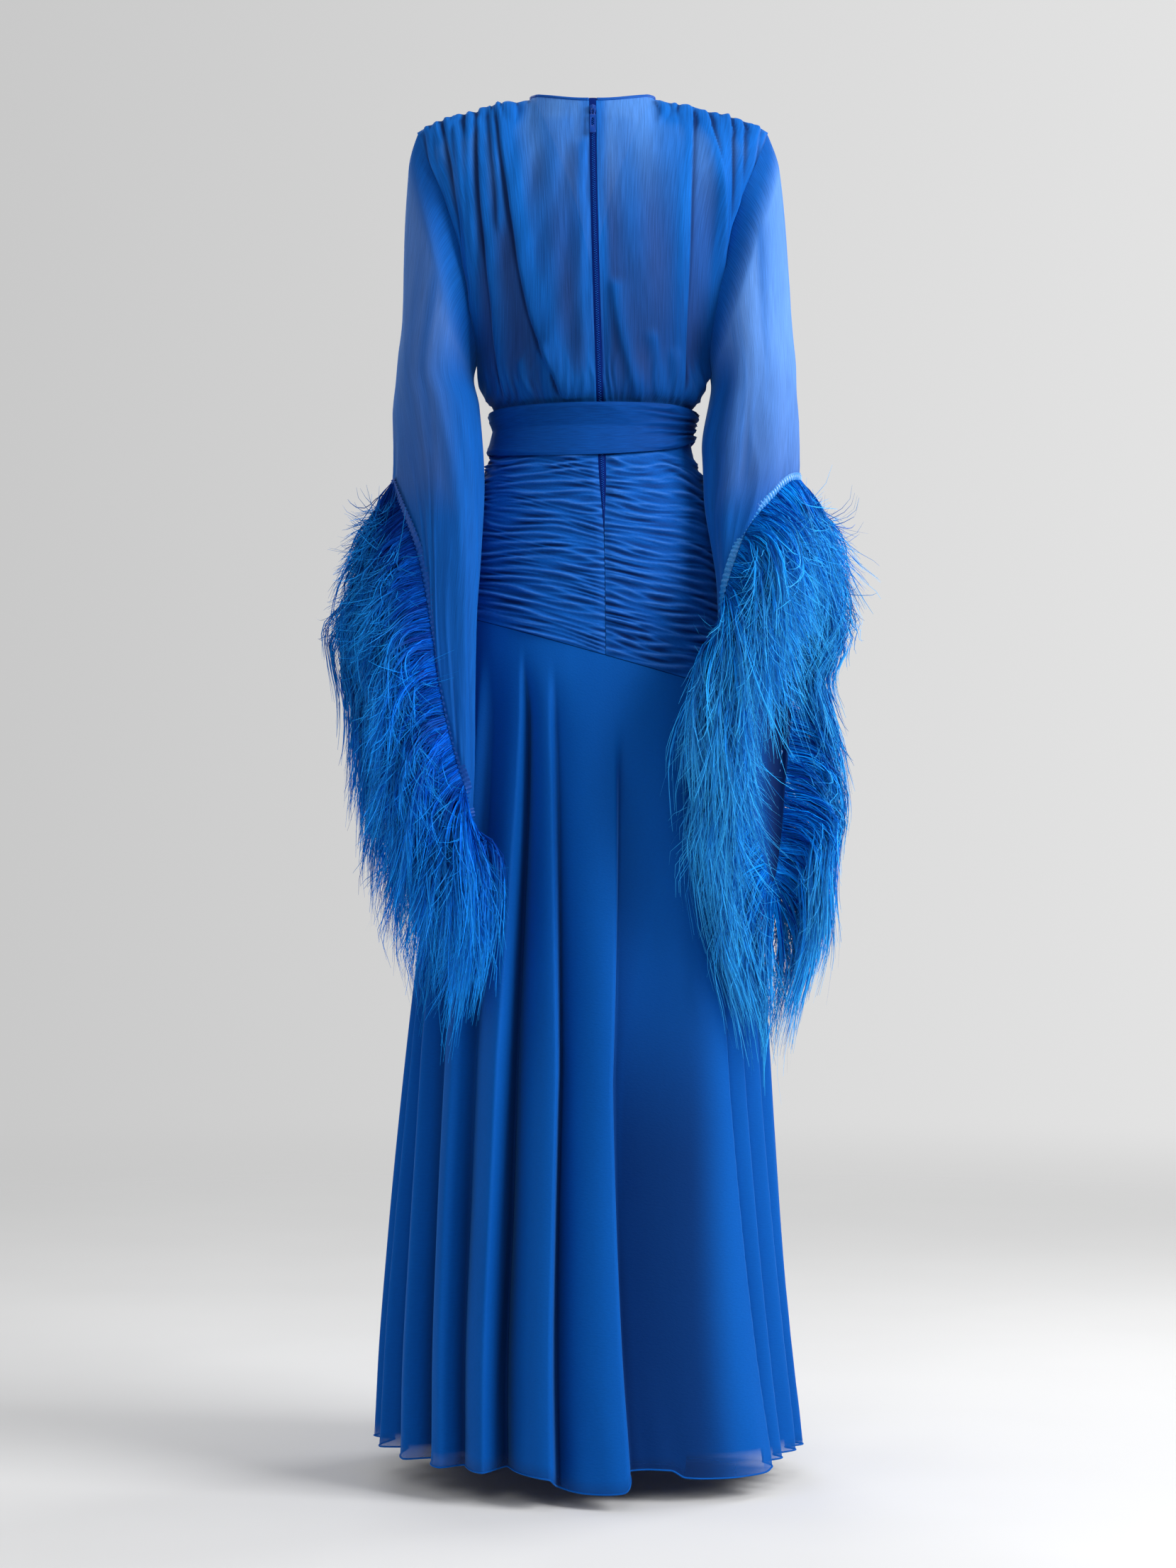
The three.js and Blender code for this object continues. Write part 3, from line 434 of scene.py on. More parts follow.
def chiffon(name, deep, light, thin_and_highlight, crinkle, grain, opacity, sheer):
    """Crinkled chiffon. Its attributes say where it lies double (on the yoke, where it lies off the painted
    highlight on its ridges), where painted light fills it from above (upper), how much painted shade darkens
    it in folds and other shaded places, and how far its opacity falls to the sheer value (open)."""
    n = Nodes(bpy.data.materials.new(name))
    cloth = n.attribute("cloth", "Vector")
    broad = n.noise(cloth, (9, 3, 1), 3)
    crinkles = n.noise(cloth, grain, 2)
    threads = n.noise(cloth, (1500, 900, 1), 1)
    double = n.ramp(broad, (0.3, deep), (0.72, light))
    shade = n.mix(n.attribute("dense"), n.mix(n.attribute("upper"), *thin_and_highlight), double) if thin_and_highlight else double
    pale = n.ramp(crinkles, (0.34, grey(1 - 0.5 * crinkle)), (0.66, grey(1.0)))
    shade = n.mix(1.0, shade, pale, "MULTIPLY")
    # Painted shade: the colour is darkened by the painted shade attribute.
    n.link(n.mix(n.attribute("hollow"), shade, PAINTED_SHADE_COLOUR), n.shader.inputs["Base Color"])
    first = n.bump(crinkles, 0.0006, 0.2 + 0.6 * crinkle)
    n.link(n.bump(threads, 0.0002, 0.35, first), n.shader.inputs["Normal"])
    if sheer < opacity:
        n.link(n.span(n.attribute("open"), 0, 1, opacity, sheer), n.shader.inputs["Alpha"])
    else:
        n.shader.inputs["Alpha"].default_value = opacity
    return n.finish(
        Roughness=0.7,
        Sheen_Weight=0.35,
        Sheen_Roughness=0.35,
        Sheen_Tint=(0.10, 0.40, 1.0, 1.0),
        Specular_IOR_Level=0.08,
    )


def woven(name, deep, light, roughness, scale, specular=0.2, coat=0.0):
    """Closely woven tape, ribbon or thread with an even grain, or lacquer where it has a coat."""
    n = Nodes(bpy.data.materials.new(name))
    grain = n.noise(n.add("ShaderNodeTexCoord").outputs["Object"], (scale, scale, scale), 3)
    n.link(n.ramp(grain, (0.3, deep), (0.7, light)), n.shader.inputs["Base Color"])
    n.link(n.bump(grain, 0.0002, 0.4), n.shader.inputs["Normal"])
    return n.finish(Roughness=roughness, Specular_IOR_Level=specular, Coat_Weight=coat)


def feather_material(name, deep, light, tip):
    """Feather barbs, paler towards their tips as painted light shining through them; the attributes give the
    way along a barb and its shade, a random tone scaled by painted shade and light at the top of the trim.
    """
    n = Nodes(bpy.data.materials.new(name))
    body = n.mix(n.attribute("shade"), deep, light)
    towards_tip = n.ramp(n.attribute("along"), (0.3, grey(0.0)), (1.0, grey(0.62)))
    n.link(n.mix(towards_tip, body, tip), n.shader.inputs["Base Color"])
    return n.finish(
        Roughness=0.5, Sheen_Weight=0.08, Sheen_Tint=(0.1, 0.5, 1.0, 1.0), Specular_IOR_Level=0.04
    )


# Colours of the cloth lying single over the bodice and sleeves, each pair in painted shade and in painted
# light where it is lit from above.
VIOLET = ((0.022, 0.088, 0.34), (0.066, 0.230, 0.66))
SLEEVE_VIOLET = ((0.038, 0.115, 0.42), (0.130, 0.340, 0.88))
LENGTHWAYS = (620, 24, 1)
BODICE = chiffon(
    "bodice_chiffon", (0.002, 0.115, 0.52), (0.005, 0.16, 0.64), VIOLET, 0.5, LENGTHWAYS, 0.985, 0.985
)
SLEEVE = chiffon(
    "sleeve_chiffon", (0.002, 0.09, 0.42), (0.004, 0.12, 0.50), SLEEVE_VIOLET, 0.5, LENGTHWAYS, 1.0, 0.88
)
# A painted highlight for the yoke's ridges, given to it as its single cloth colour.
RIDGE_HIGHLIGHT = ((0.030, 0.165, 0.60), (0.030, 0.165, 0.60))
YOKE = chiffon("yoke_chiffon", (0.001, 0.085, 0.42), (0.002, 0.11, 0.50), RIDGE_HIGHLIGHT, 0.3, (300, 500, 1), 1.0, 1.0)
SASH_CLOTH = chiffon(
    "sash_chiffon", (0.0, 0.054, 0.28), (0.001, 0.068, 0.34), None, 0.4, (60, 700, 1), 1.0, 1.0
)
SKIRT = chiffon("skirt_chiffon", (0.0, 0.085, 0.40), (0.001, 0.10, 0.45), None, 0.12, (260, 520, 1), 1.0, 0.7)
BINDING = woven("binding", (0.001, 0.07, 0.36), (0.003, 0.10, 0.46), 0.6, 900)
TAPE = woven("zip_tape", (0.0, 0.010, 0.12), (0.001, 0.018, 0.17), 0.65, 1400, 0.05)
COIL = woven("zip_coil", (0.002, 0.08, 0.46), (0.008, 0.14, 0.58), 0.4, 900, 0.15)
LACQUER = woven("zip_lacquer", (0.001, 0.040, 0.27), (0.003, 0.055, 0.34), 0.3, 90, 0.2, 0.15)
# One ribbon colour in two copies: the right one is painted lighter, as painted light on the lit side.
RIBBON_LEFT = woven("cuff_ribbon_left", (0.001, 0.055, 0.30), (0.003, 0.085, 0.42), 0.5, 700)
RIBBON_RIGHT_LIT = woven("cuff_ribbon_right", (0.004, 0.15, 0.50), (0.02, 0.27, 0.70), 0.35, 700, 0.4)
THREAD = woven("thread", (0.001, 0.05, 0.30), (0.002, 0.07, 0.38), 0.5, 900)
# One feather colour in two copies: the right one is painted lighter, as painted light on the lit side.
FEATHER_LEFT = feather_material("feather_left", (0.0, 0.011, 0.18), (0.001, 0.20, 1.0), (0.015, 0.40, 1.0))
FEATHER_RIGHT_LIT = feather_material("feather_right_lit", (0.0, 0.016, 0.26), (0.003, 0.33, 1.0), (0.06, 0.56, 1.0))


# The bodice


def back_seam_x(drop):
    return CENTRE_SHIFT * smooth(drop, 0, YOKE_DROP)


def bodice_depth(x, drop, back):
    body = read(TORSO, "drop", drop, "back" if back else "front")
    oval = read(TORSO, "drop", drop, "oval")
    y = body * np.sqrt(np.maximum(0, 1 - (x / oval) ** 2))
    below = read(SHOULDER, "x", np.abs(x), "z") + drop
    roll = np.sqrt(1 - (1 - np.clip(below / SHOULDER_ROLL, 0, 1)) ** 2)
    return lerp(SHOULDER_Y, y if back else -y, roll)


def upper_edge(u, back):
    beyond = lerp(NECK_HALF, TIP_HALF, (u - NECK_SHARE) / (1 - NECK_SHARE))
    share = np.clip(u / NECK_SHARE, 0, 1)
    neck = BACK_NECK_DROP * (1 - share**2) if back else FRONT_NECK_DROP * (1 - share) ** 1.5
    on_shoulder = u > NECK_SHARE
    x = np.where(on_shoulder, beyond, NECK_HALF * share)
    drop = np.where(on_shoulder, -read(SHOULDER, "x", np.maximum(beyond, NECK_HALF), "z"), neck)
    return x, drop


def bodice_grid(us, vs, back, side):
    """Plain points of one half of the bodice, with each one's place across, height and drop."""
    v, u = np.meshgrid(vs, us, indexing="ij")
    top_x, top_drop = upper_edge(u, back)
    drop = lerp(WAIST_DROP - 0.15, top_drop, v)
    edge = read(TORSO, "drop", drop, "side")
    start = side * back_seam_x(drop) + ZIP_HALF if back else np.zeros_like(drop)
    at_waist = np.sin(math.pi / 2 * u**1.15)
    topmost = top_x + start * np.maximum(0, 1 - u / NECK_SHARE)
    at_top = (topmost - start) / (TIP_HALF - start)
    x = lerp(start, edge, lerp(at_waist, at_top, smooth(v, 0, 1)))
    return stack(side * x, bodice_depth(x, drop, back), -drop), u, v, drop


# Long creases of the bodice's back: where each one lies at four drops, how high it stands, how wide it is on
# the side of the middle and on the side of the arm, and over which drops it fades in and out.
CREASE = ("top", "upper", "lower", "bottom", "height", "inner", "outer", "begin", "end")
BACK_CREASES = table(CREASE, [
    (104, 92, 68, 29, 6.5, 20, 3, 8, 356),
    (113, 104, 98, 92, 4.0, 7, 3, 8, 170),
    (125, 122, 108, 95, 5.0, 11, 3, 10, 345),
    (138, 134, 124, 112, 3.4, 7, 4, 10, 210),
    (155, 143, 130, 122, 4.6, 10, 3, 14, 340),
    (166, 149, 133, 124, 4.0, 8, 3, 20, 260),
    (175, 162, 136, 126, 3.4, 7, 4, 24, 220),
    (188, 174, 150, 130, 4.0, 9, 3, 30, 240),
    (40, 46, 50, 44, 1.8, 24, 18, 30, 330),
    (10, 12, 12, 8, 2.0, 5, 10, 60, 356),
    (-88, -94, -94, -86, 2.6, 16, 8, 10, 330),
    (-109, -106, -102, -96, 4.6, 11, 3, 10, 340),
    (-124, -143, -135, -112, 4.8, 10, 3, 12, 356),
    (-138, -146, -132, -118, 3.2, 6, 4, 12, 210),
    (-151, -151, -140, -122, 4.4, 9, 3, 16, 340),
    (-166, -162, -144, -124, 4.0, 8, 3, 22, 260),
    (-187, -172, -147, -104, 5.0, 10, 3, 28, 356),
    (-14, -18, -26, -50, 4.2, 5, 11, 215, 356),
    (-50, -54, -62, -78, 3.4, 8, 6, 270, 356),
    (-30, -40, -84, -92, 3.4, 8, 6, 290, 356),
    (60, 60, 56, 46, 3.2, 5, 9, 285, 356),
    (80, 80, 80, 74, 3.2, 6, 6, 300, 356),
    (-40, -48, -54, -56, 1.6, 24, 18, 30, 300),
])
CREASE_DROPS = (14, 110, 246, 350)
SHOULDER_LOOPS = 9
WAIST_PLEAT = 9.0


def crease_relief(x, drop, creases):
    total = np.zeros_like(x)
    for row in zip(*(creases[name] for name in CREASE)):
        top, upper, lower, bottom, height, inner, outer, begin, end = row
        course = table(("drop", "x"), list(zip(CREASE_DROPS, (top, upper, lower, bottom))))
        away = (x - read(course, "drop", drop, "x")) * (1 if top >= 0 else -1)
        width = np.where(away < 0, inner, outer)
        fade = smooth(drop, begin - 6, begin + 10) * (1 - smooth(drop, end - 30, end + 4))
        total = total + height * fade * np.exp(-((away / width) ** 2))
    return total


def bodice_relief(x, u, drop, back, seed):
    """How far the cloth stands out of its plain form, and how double it lies."""
    if back:
        creases = crease_relief(x, drop, BACK_CREASES)
    else:
        course = np.abs(x) + 14 * np.sin(drop / 90)
        creases = 2.6 * np.cos(course / 4.6) ** 2 * smooth(np.abs(x), 55, 95) * (1 - smooth(drop, 150, 300))
    below = drop + read(SHOULDER, "x", np.abs(x), "z")
    # Short loops where the shoulder is gathered, of changing reach
    share = (np.abs(x) - NECK_HALF) / (TIP_HALF - NECK_HALF)
    along = share * SHOULDER_LOOPS + 0.35 * wobble(x, drop, seed, 60, 90)
    reach = 26 + 14 * np.sin(2.4 * np.floor(along) + seed)
    loop = np.abs(np.sin(math.pi * along)) ** 0.7
    at_shoulder = 3.0 * loop * smooth(along, 0, 0.4) * smooth(below, 0.5, 7)
    at_shoulder = at_shoulder * (1 - smooth(below, 0.4 * reach, reach))
    fold = 1 - np.abs(np.sin(math.pi * (x / WAIST_PLEAT + 0.5 * wobble(x, drop, seed + 1, 70, 90))))
    uneven = np.clip(0.7 + 0.6 * wobble(x, drop, seed + 4, 50, 200), 0.1, 1.3)
    at_waist = 2.0 * fold * uneven * smooth(drop, 275, 338) * (1 - smooth(drop, 344, 350))
    soft = 1.6 * wobble(x, drop, seed + 2, 60, 300) * smooth(drop, 20, 90) * (1 - smooth(drop, 320, 350))
    relief = creases * (1 - smooth(drop, 340, 350)) + at_shoulder + at_waist + soft
    dense = 0.22 * creases + 0.35 * at_waist + 0.9 * (1 - smooth(below, 10, 46)) * smooth(np.abs(x), 66, 80)
    dense = dense + 0.8 * smooth(u, 0.86, 1.0) + 0.5 * smooth(drop, 300, 345)
    if back:
        zip_away = np.abs(x - back_seam_x(drop))
        dense = dense + 0.9 * (1 - smooth(zip_away, 8, 20))
    return relief, np.clip(dense + 0.18 * wobble(x, drop, seed + 6, 36, 260), 0, 1)


def bodice_panel(name, back, sides, columns, rows, seed):
    """A panel of the bodice, from its one or two halves."""
    vs = np.concatenate([np.linspace(0, 0.16, rows // 4, endpoint=False), np.linspace(0.16, 1, rows)])
    halves = []
    for side in sides:
        plain, u, v, drop = bodice_grid(np.linspace(0, 1, columns), vs, back, side)
        relief, dense = bodice_relief(plain[..., 0], u, drop, back, seed)
        keep = smooth(v, 0, 0.02) * (1 - smooth(v, 0.985, 1)) * (1 - smooth(u, 0.98, 1))
        if back:
            keep = keep * smooth(u, 0, 0.02)
        # Painted light at the top of the bodice, and painted shade in its folds and towards the waist, more
        # on the back's right half.
        upper = 1 - smooth(drop, 10, 170)
        shade = 0.5 if back and side < 0 else 0.36
        hollow = np.maximum(0.85 * hollows(relief * keep, 1, 6, 1.4), shade * smooth(drop, 110, 300))
        layers = [plain, (relief * keep)[..., None], dense, upper, hollow]
        # Columns run anticlockwise: over the back from left to right, over the front from right to left.
        if (side > 0) == back:
            layers = [layer[:, ::-1] for layer in layers]
        plain, raised, *tones = layers
        first = 1 if halves else 0
        halves.append([layer[:, first:] for layer in (plain + normals(plain) * raised, *tones)])
    grid, dense, upper, hollow = (np.concatenate(each, axis=1) for each in zip(*halves))
    return grid_mesh(name, grid, BODICE, dense=dense, upper=upper, hollow=hollow)


BINDING_HALF = 2.0


def neck_line():
    """The neck's edge from the zip round by the wearer's right, and the way that the cloth runs up to it."""
    lines = []
    for back, side, turned in ((True, -1, False), (False, -1, True), (False, 1, False), (True, 1, True)):
        us = np.linspace(0, NECK_SHARE, 60)
        points = bodice_grid(us, np.array([0.985, 1.0]), back, side)[0]
        lines.append(points[:, ::-1] if turned else points)
    line = np.concatenate([lines[0][:, :-1], lines[1][:, :-1], lines[2][:, :-1], lines[3]], axis=1)
    ahead = unit(np.gradient(line[1], axis=0))
    up = line[1] - line[0]
    up = unit(up - ahead * np.sum(up * ahead, axis=1, keepdims=True))
    return line[1], up, np.cross(ahead, up)


# The hips and the skirt


def lower_point(turn, drop, out=0.0, slide=0.0):
    """A point of the hips or skirt; out is a distance outwards and slide one along the way round."""
    a = np.radians(turn)
    half = read(LOWER, "drop", drop, "half")
    depth = np.where(np.sin(a) >= 0, read(LOWER, "drop", drop, "back"), read(LOWER, "drop", drop, "front"))
    a = a + slide / half
    x = read(LOWER, "drop", drop, "shift") + (half + out) * np.cos(a)
    return stack(x, (depth + out) * np.sin(a), -np.asarray(drop, dtype=float))


def yoke_edge(turn):
    return YOKE_DROP - YOKE_SLANT * (read(LOWER, "drop", YOKE_DROP, "half") + 1) * np.cos(np.radians(turn))


def back_edge_turn(drop, side):
    opening = ZIP_HALF * (1 - smooth(drop, WAIST_DROP + 40, ZIP_END_DROP))
    share = (back_seam_x(drop) + side * (opening + 0.25)) / read(LOWER, "drop", drop, "half")
    return np.degrees(np.arctan2(np.sqrt(1 - share**2), share))


RUCHES = 22
RUCHE_HEIGHT = 5.6


def ruche_relief(across, v, seed):
    """Shirring: ridges across the yoke that wander, part and run together, closest at its seams."""
    drift = 0.8 * wobble(across, v, seed, 1.3, 0.7) + 0.3 * wobble(across, v, seed + 1, 0.5, 0.2)
    fine_drift = 0.9 * wobble(across, v, seed + 2, 0.7, 0.3)
    main = 1 - np.abs(np.sin(math.pi * (RUCHES * v + drift)))
    fine = 1 - np.abs(np.sin(math.pi * (1.83 * RUCHES * v + fine_drift)))
    strength = np.clip(0.62 + 0.55 * wobble(across, v, seed + 3, 0.4, 0.09), 0.05, 1.25)
    finer = np.clip(0.4 + 0.6 * wobble(across, v, seed + 5, 0.3, 0.1), 0, 1)
    at_seams = np.maximum(1 - smooth(across, 0, 0.3), 1 - smooth(1 - across, 0, 0.25))
    return RUCHE_HEIGHT * (0.75 * strength * main**1.2 + (0.35 * finer + 0.3 * at_seams) * fine**1.4)


def yoke_panel(name, turns_at, columns, rows, seed):
    vs = np.linspace(0, 1, rows)
    v, across = np.meshgrid(vs, np.linspace(0, 1, columns), indexing="ij")
    turn = turns_at(across, lerp(YOKE_DROP, WAIST_DROP, v))
    drop = lerp(yoke_edge(turn) - 0.35, WAIST_DROP + 0.15, v)
    calm = smooth(v, 0, 0.012) * (1 - smooth(v, 0.84, 0.93))
    tucked = 0.15 + 0.85 * smooth(np.minimum(across, 1 - across), 0, 0.035)
    relief = ruche_relief(across, v, seed) * calm
    grid = lower_point(turn, drop, (0.3 + relief) * tucked)
    near = rows // 32
    # Painted shade in the valleys between the ridges; on the ridges the colour falls to the painted
    # highlight.
    hollow = 0.85 * hollows(relief, 0, near, 1.5)
    return grid_mesh(name, grid, YOKE, hollow=hollow, dense=1 - hollows(-relief, 0, near, 1.8))


# The skirt's long folds, round from the wearer's left over the back. For each crest: its turn at three drops,
# the depth of the fall after it at the hem, the share of the way to the fall's bottom, how full the rise
# after that is, how far the crest leans over the fall and the drop where it starts.
FOLD = ("upper", "middle", "foot", "depth", "valley", "full", "lean", "start")
FOLDS = table(FOLD, [
    (0, 0, 0, 24, 0.4, 0.3, 2, 700),
    (12, 11, 15, 27, 0.3, 0.4, 4, 690),
    (25, 23, 32, 30, 0.3, 0.45, 5, 680),
    (41, 41.5, 46, 30, 0.3, 0.5, 5, 645),
    (60.5, 58.5, 59.5, 46, 0.2, 0.75, 9, 632),
    (72.5, 78, 78.5, 36, 0.13, 0.85, 9, 640),
    (97, 94.5, 98, 42, 0.12, 0.55, 9, 690),
    (133, 137, 145, 15, 0.35, 0.5, 6, 700),
    (143, 146, 152, 16, 0.4, 0.4, 5, 690),
    (153, 157, 163, 17, 0.45, 0.3, 3, 690),
    (166, 168, 172, 18, 0.5, 0.2, 2, 700),
    (180, 180, 180, 20, 0.5, 0.2, 0, 720),
    (195, 195, 195, 21, 0.5, 0.2, 0, 720),
    (209, 209, 209, 23, 0.5, 0.25, 2, 710),
    (224, 223, 224, 25, 0.45, 0.3, 3, 700),
    (240, 241, 240, 26, 0.4, 0.35, 4, 720),
    (255, 256, 256, 27, 0.4, 0.35, 4, 740),
    (271, 270, 271, 28, 0.6, 0.35, -4, 740),
    (287, 288, 287, 27, 0.6, 0.35, -4, 720),
    (302, 301, 302, 26, 0.6, 0.3, -3, 700),
    (317, 318, 317, 24, 0.55, 0.25, -2, 700),
    (331, 330, 331, 22, 0.5, 0.2, 0, 710),
    (346, 347, 346, 20, 0.5, 0.2, 0, 720),
    (360, 360, 360, 22, 0.5, 0.2, 0, 700),
])
FOLD_DROPS = (720, 1085, 1500)
FOLD_GROWTH = 620
SKIRT_RISE = 4
FOOT = table(("turn", "drop"), [
    (0, 1506), (20, 1508), (45, 1512), (78, 1514), (81, 1528), (97, 1529), (100.5, 1515), (115, 1513),
    (119, 1521), (142, 1522), (148, 1514), (180, 1511), (230, 1520), (270, 1526), (310, 1520),
    (360, 1506),
])


def skirt_fold(turns, drop):
    """Depth of the folds over one row of turns at a drop, and how far the cloth leans round there."""
    upper, middle, foot = (FOLDS[name] for name in FOLD[:3])
    courses = [np.interp(drop, FOLD_DROPS, crest) for crest in zip(upper, middle, foot)]
    crests = np.array(courses)
    i = np.clip(np.searchsorted(crests, turns, side="right") - 1, 0, len(crests) - 2)
    share = (turns - crests[i]) / (crests[i + 1] - crests[i])
    valley = FOLDS["valley"][i]
    fall = np.sin(math.pi / 2 * np.clip(share / valley, 0, 1)) ** 2
    rise = np.clip((share - valley) / (1 - valley), 0, 1)
    full = FOLDS["full"][i]
    risen = full * (1 - np.sin(math.pi / 2 * rise)) + (1 - full) * np.cos(math.pi / 2 * rise) ** 2
    inward = np.where(share < valley, fall, risen)
    begun = drop - FOLDS["start"]
    grown = np.sqrt(np.clip(begun / FOLD_GROWTH, 0, 1)) * smooth(begun, -10, 90)
    near = np.where(share < valley, grown[i], lerp(grown[i], grown[i + 1], rise))
    lean = np.where(share < valley, FOLDS["lean"][i], lerp(0, FOLDS["lean"][i + 1], rise))
    return FOLDS["depth"][i] * near * inward, lean * near * (1 - inward)


def skirt_panel(name, start, stop, columns, rows):
    vs = np.linspace(0, 1, rows) ** 0.9
    turns = np.linspace(start, stop, columns)
    v, turn = np.meshgrid(vs, turns, indexing="ij")
    top = yoke_edge(turn) + 0.35
    foot = read(FOOT, "turn", turn, "drop")
    drop = lerp(foot, top, v)
    inward = np.empty_like(turn)
    lean = np.empty_like(turn)
    for row in range(rows):
        inward[row], lean[row] = skirt_fold(turns, drop[row].mean())
    at_top = smooth(drop - top, 0, 60)
    rise = SKIRT_RISE * smooth((drop - top) / (foot - top), 0, 1)
    soft = 1.8 * wobble(turn, drop, 31, 34, 900) * smooth(drop - top, 0, 200)
    ripple = 1.2 * wobble(turn, drop, 33, 9, 400) * smooth(drop, 1380, 1520)
    grid = lower_point(turn, drop, rise - inward * at_top + soft + ripple, lean * at_top)
    right_strip = smooth(turn, 117, 120) * (1 - smooth(turn, 140, 144))
    left_strip = smooth(turn, 6, 12) * (1 - smooth(turn, 46, 54))
    lining = foot - 4 - 17 * right_strip - 6 * left_strip
    at_hem = smooth(drop - lining, 0, 3)
    # Painted shade in the falls between the folds, and across the slope from about 100 to 135 degrees round,
    # lower down.
    hollow = np.maximum(0.85 * smooth(inward * at_top, 8, 50), 0.8 * hollows(-inward * at_top, 1, 7, 6.5))
    slope = smooth(turn, 98, 103) * (1 - smooth(turn, 122, 137)) * smooth(drop, 850, 1200)
    hollow = np.maximum(hollow, 0.7 * slope)
    return grid_mesh(name, grid, SKIRT, open=at_hem, hollow=hollow), grid


# The sash


def sash_rise(drop):
    return np.where(drop > WAIST_DROP, 0.24, 0.26) * np.abs(drop - WAIST_DROP)


def sash_grid(columns, rows):
    turns = np.linspace(0, 360, columns, endpoint=False)
    v, turn = np.meshgrid(np.linspace(0, 1, rows), turns, indexing="ij")
    drop = lerp(read(SASH, "turn", turn, "bottom"), read(SASH, "turn", turn, "top"), v)
    bunch = smooth(-np.cos(np.radians(turn)), 0.3, 0.97)
    slant = 0.9 * (turn - 90) / 90
    wide = 1 - np.abs(np.sin(math.pi * (1.5 * v + 0.25 * slant + 0.3 * wobble(turn, v, 41, 160, 1.5))))
    tight = 1 - np.abs(np.sin(math.pi * (5 * v + 0.35 * slant + 0.5 * wobble(turn, v, 43, 70, 0.8))))
    fold = 0.9 + 1.3 * wide**1.5 * (1 - bunch) + 4.0 * tight**1.2 * bunch
    edge = smooth(v, 0, 0.06) * (1 - smooth(v, 0.94, 1))
    plain = lower_point(turn, WAIST_DROP, 2.6 + sash_rise(drop) + 1.6 + fold * (0.3 + 0.7 * edge))
    plain[..., 2] = -drop
    # Painted shade between the sash's folds.
    return plain, 0.85 * hollows(fold, 0, 4, 1.2)


# The sleeves


def armhole(turn):
    a = np.radians(turn)
    drop = lerp(TIP_DROP, UNDERARM_DROP, (1 - np.cos(a)) / 2)
    x = read(TORSO, "drop", drop, "side")
    y = np.where(np.sin(a) >= 0, bodice_depth(x, drop, True), bodice_depth(x, drop, False))
    return x - ARMHOLE_TUCK, y, drop


def sleeve_points(shape, s, t, relief=0.0):
    hem = shape["hem"]
    rows = {"s": np.linspace(0, 1, len(hem["turn"])), **hem}
    even = lerp(hem["turn"][0], hem["turn"][-1], s)
    turn = lerp(even, read(rows, "s", s, "turn"), smooth(t, 0, 0.8))
    start_x, start_y, start_drop = armhole(even)
    drop = lerp(start_drop, read(rows, "s", s, "drop"), t)
    folds = shape["folds"]
    fold = sum(
        depth * np.exp(-(((turn - place) / wide) ** 2)) * smooth(drop, begin, begin + 200)
        for place, wide, depth, begin in zip(*(folds[key] for key in SLEEVE_FOLD))
    )
    grown = relief - fold
    sections = shape["sections"]
    tilt = np.radians(read(sections, "drop", drop, "turn"))
    a = np.radians(turn)
    outward = (read(sections, "drop", drop, "out") + grown) * np.cos(a)
    across = (read(sections, "drop", drop, "across") + grown) * np.sin(a)
    full_x = read(sections, "drop", drop, "x") + outward * np.cos(tilt) - across * np.sin(tilt)
    full_y = read(sections, "drop", drop, "y") + outward * np.sin(tilt) + across * np.cos(tilt)
    out = 1 - (1 - np.clip((drop - start_drop) / HEAD_LENGTH, 0, 1)) ** 2
    return stack(shape["side"] * lerp(start_x, full_x, out), lerp(start_y, full_y, out), -drop)


def sleeve_mesh(name, shape, columns, rows, seed):
    s = np.linspace(0, 1, columns, endpoint=False)
    if shape["side"] < 0:
        s = np.concatenate([s[:1], s[1:][::-1]])
    t, s = np.meshgrid(np.linspace(1, 0, rows) ** 1.15, s, indexing="ij")
    ring = 2 * math.pi * s
    place = 60 * np.sin(ring) + 80 * np.cos(ring)
    other = 60 * np.cos(ring)
    body = smooth(t, 0.04, 0.3) * (1 - 0.6 * smooth(t, 0.96, 1))
    broad = 2.2 * wobble(place, other + 0.25 * 700 * t, seed, 70, 150)
    narrow = 1.4 * (1 - np.abs(np.sin(place / 11 + 1.4 * wobble(place, 700 * t, seed + 1, 90, 400))))
    low = smooth(t, 0.35, 0.8)
    relief = (broad + narrow * (0.25 + 0.75 * low)) * body
    grid = sleeve_points(shape, s, t, relief)
    drop = -grid[..., 2]
    # The inner side hangs close to the hip.
    close = smooth(drop, 320, 400) * (1 - smooth(drop, 450, 560)) * smooth(-np.cos(ring), 0.2, 0.9)
    grid[..., 0] -= shape["side"] * shape["inward"] * close
    bands = 0.1 + 0.4 * wobble(place, 700 * t, seed + 2, 42, 900)
    at_edges = np.maximum(smooth(t, 0.975, 0.99), 1 - smooth(t, 0.03, 0.16))
    turn = np.degrees(ring)
    hanging = smooth(drop, 220, 340) * smooth(turn, shape["arm"], shape["arm"] + 45)
    double = np.maximum(hanging, smooth(drop, 400, 490))
    dense = np.clip(np.maximum(np.maximum(bands, double), at_edges), 0, 1)
    # Painted shade on the lower inner front, which shows through the cuff's opening, and in the folds;
    # painted light at the top, stronger on the right sleeve.
    inside = shape["inside"] * smooth(turn, 180, 230) * (1 - smooth(turn, 300, 345)) * smooth(drop, 560, 640)
    hollow = np.maximum(0.6 * hollows(relief, 1, 5, 1.6), inside)
    upper = shape["pale"] * (1 - smooth(drop, 180, 580))
    return grid_mesh(name, grid, SLEEVE, ring=True, dense=dense, open=1 - dense, hollow=hollow, upper=upper)


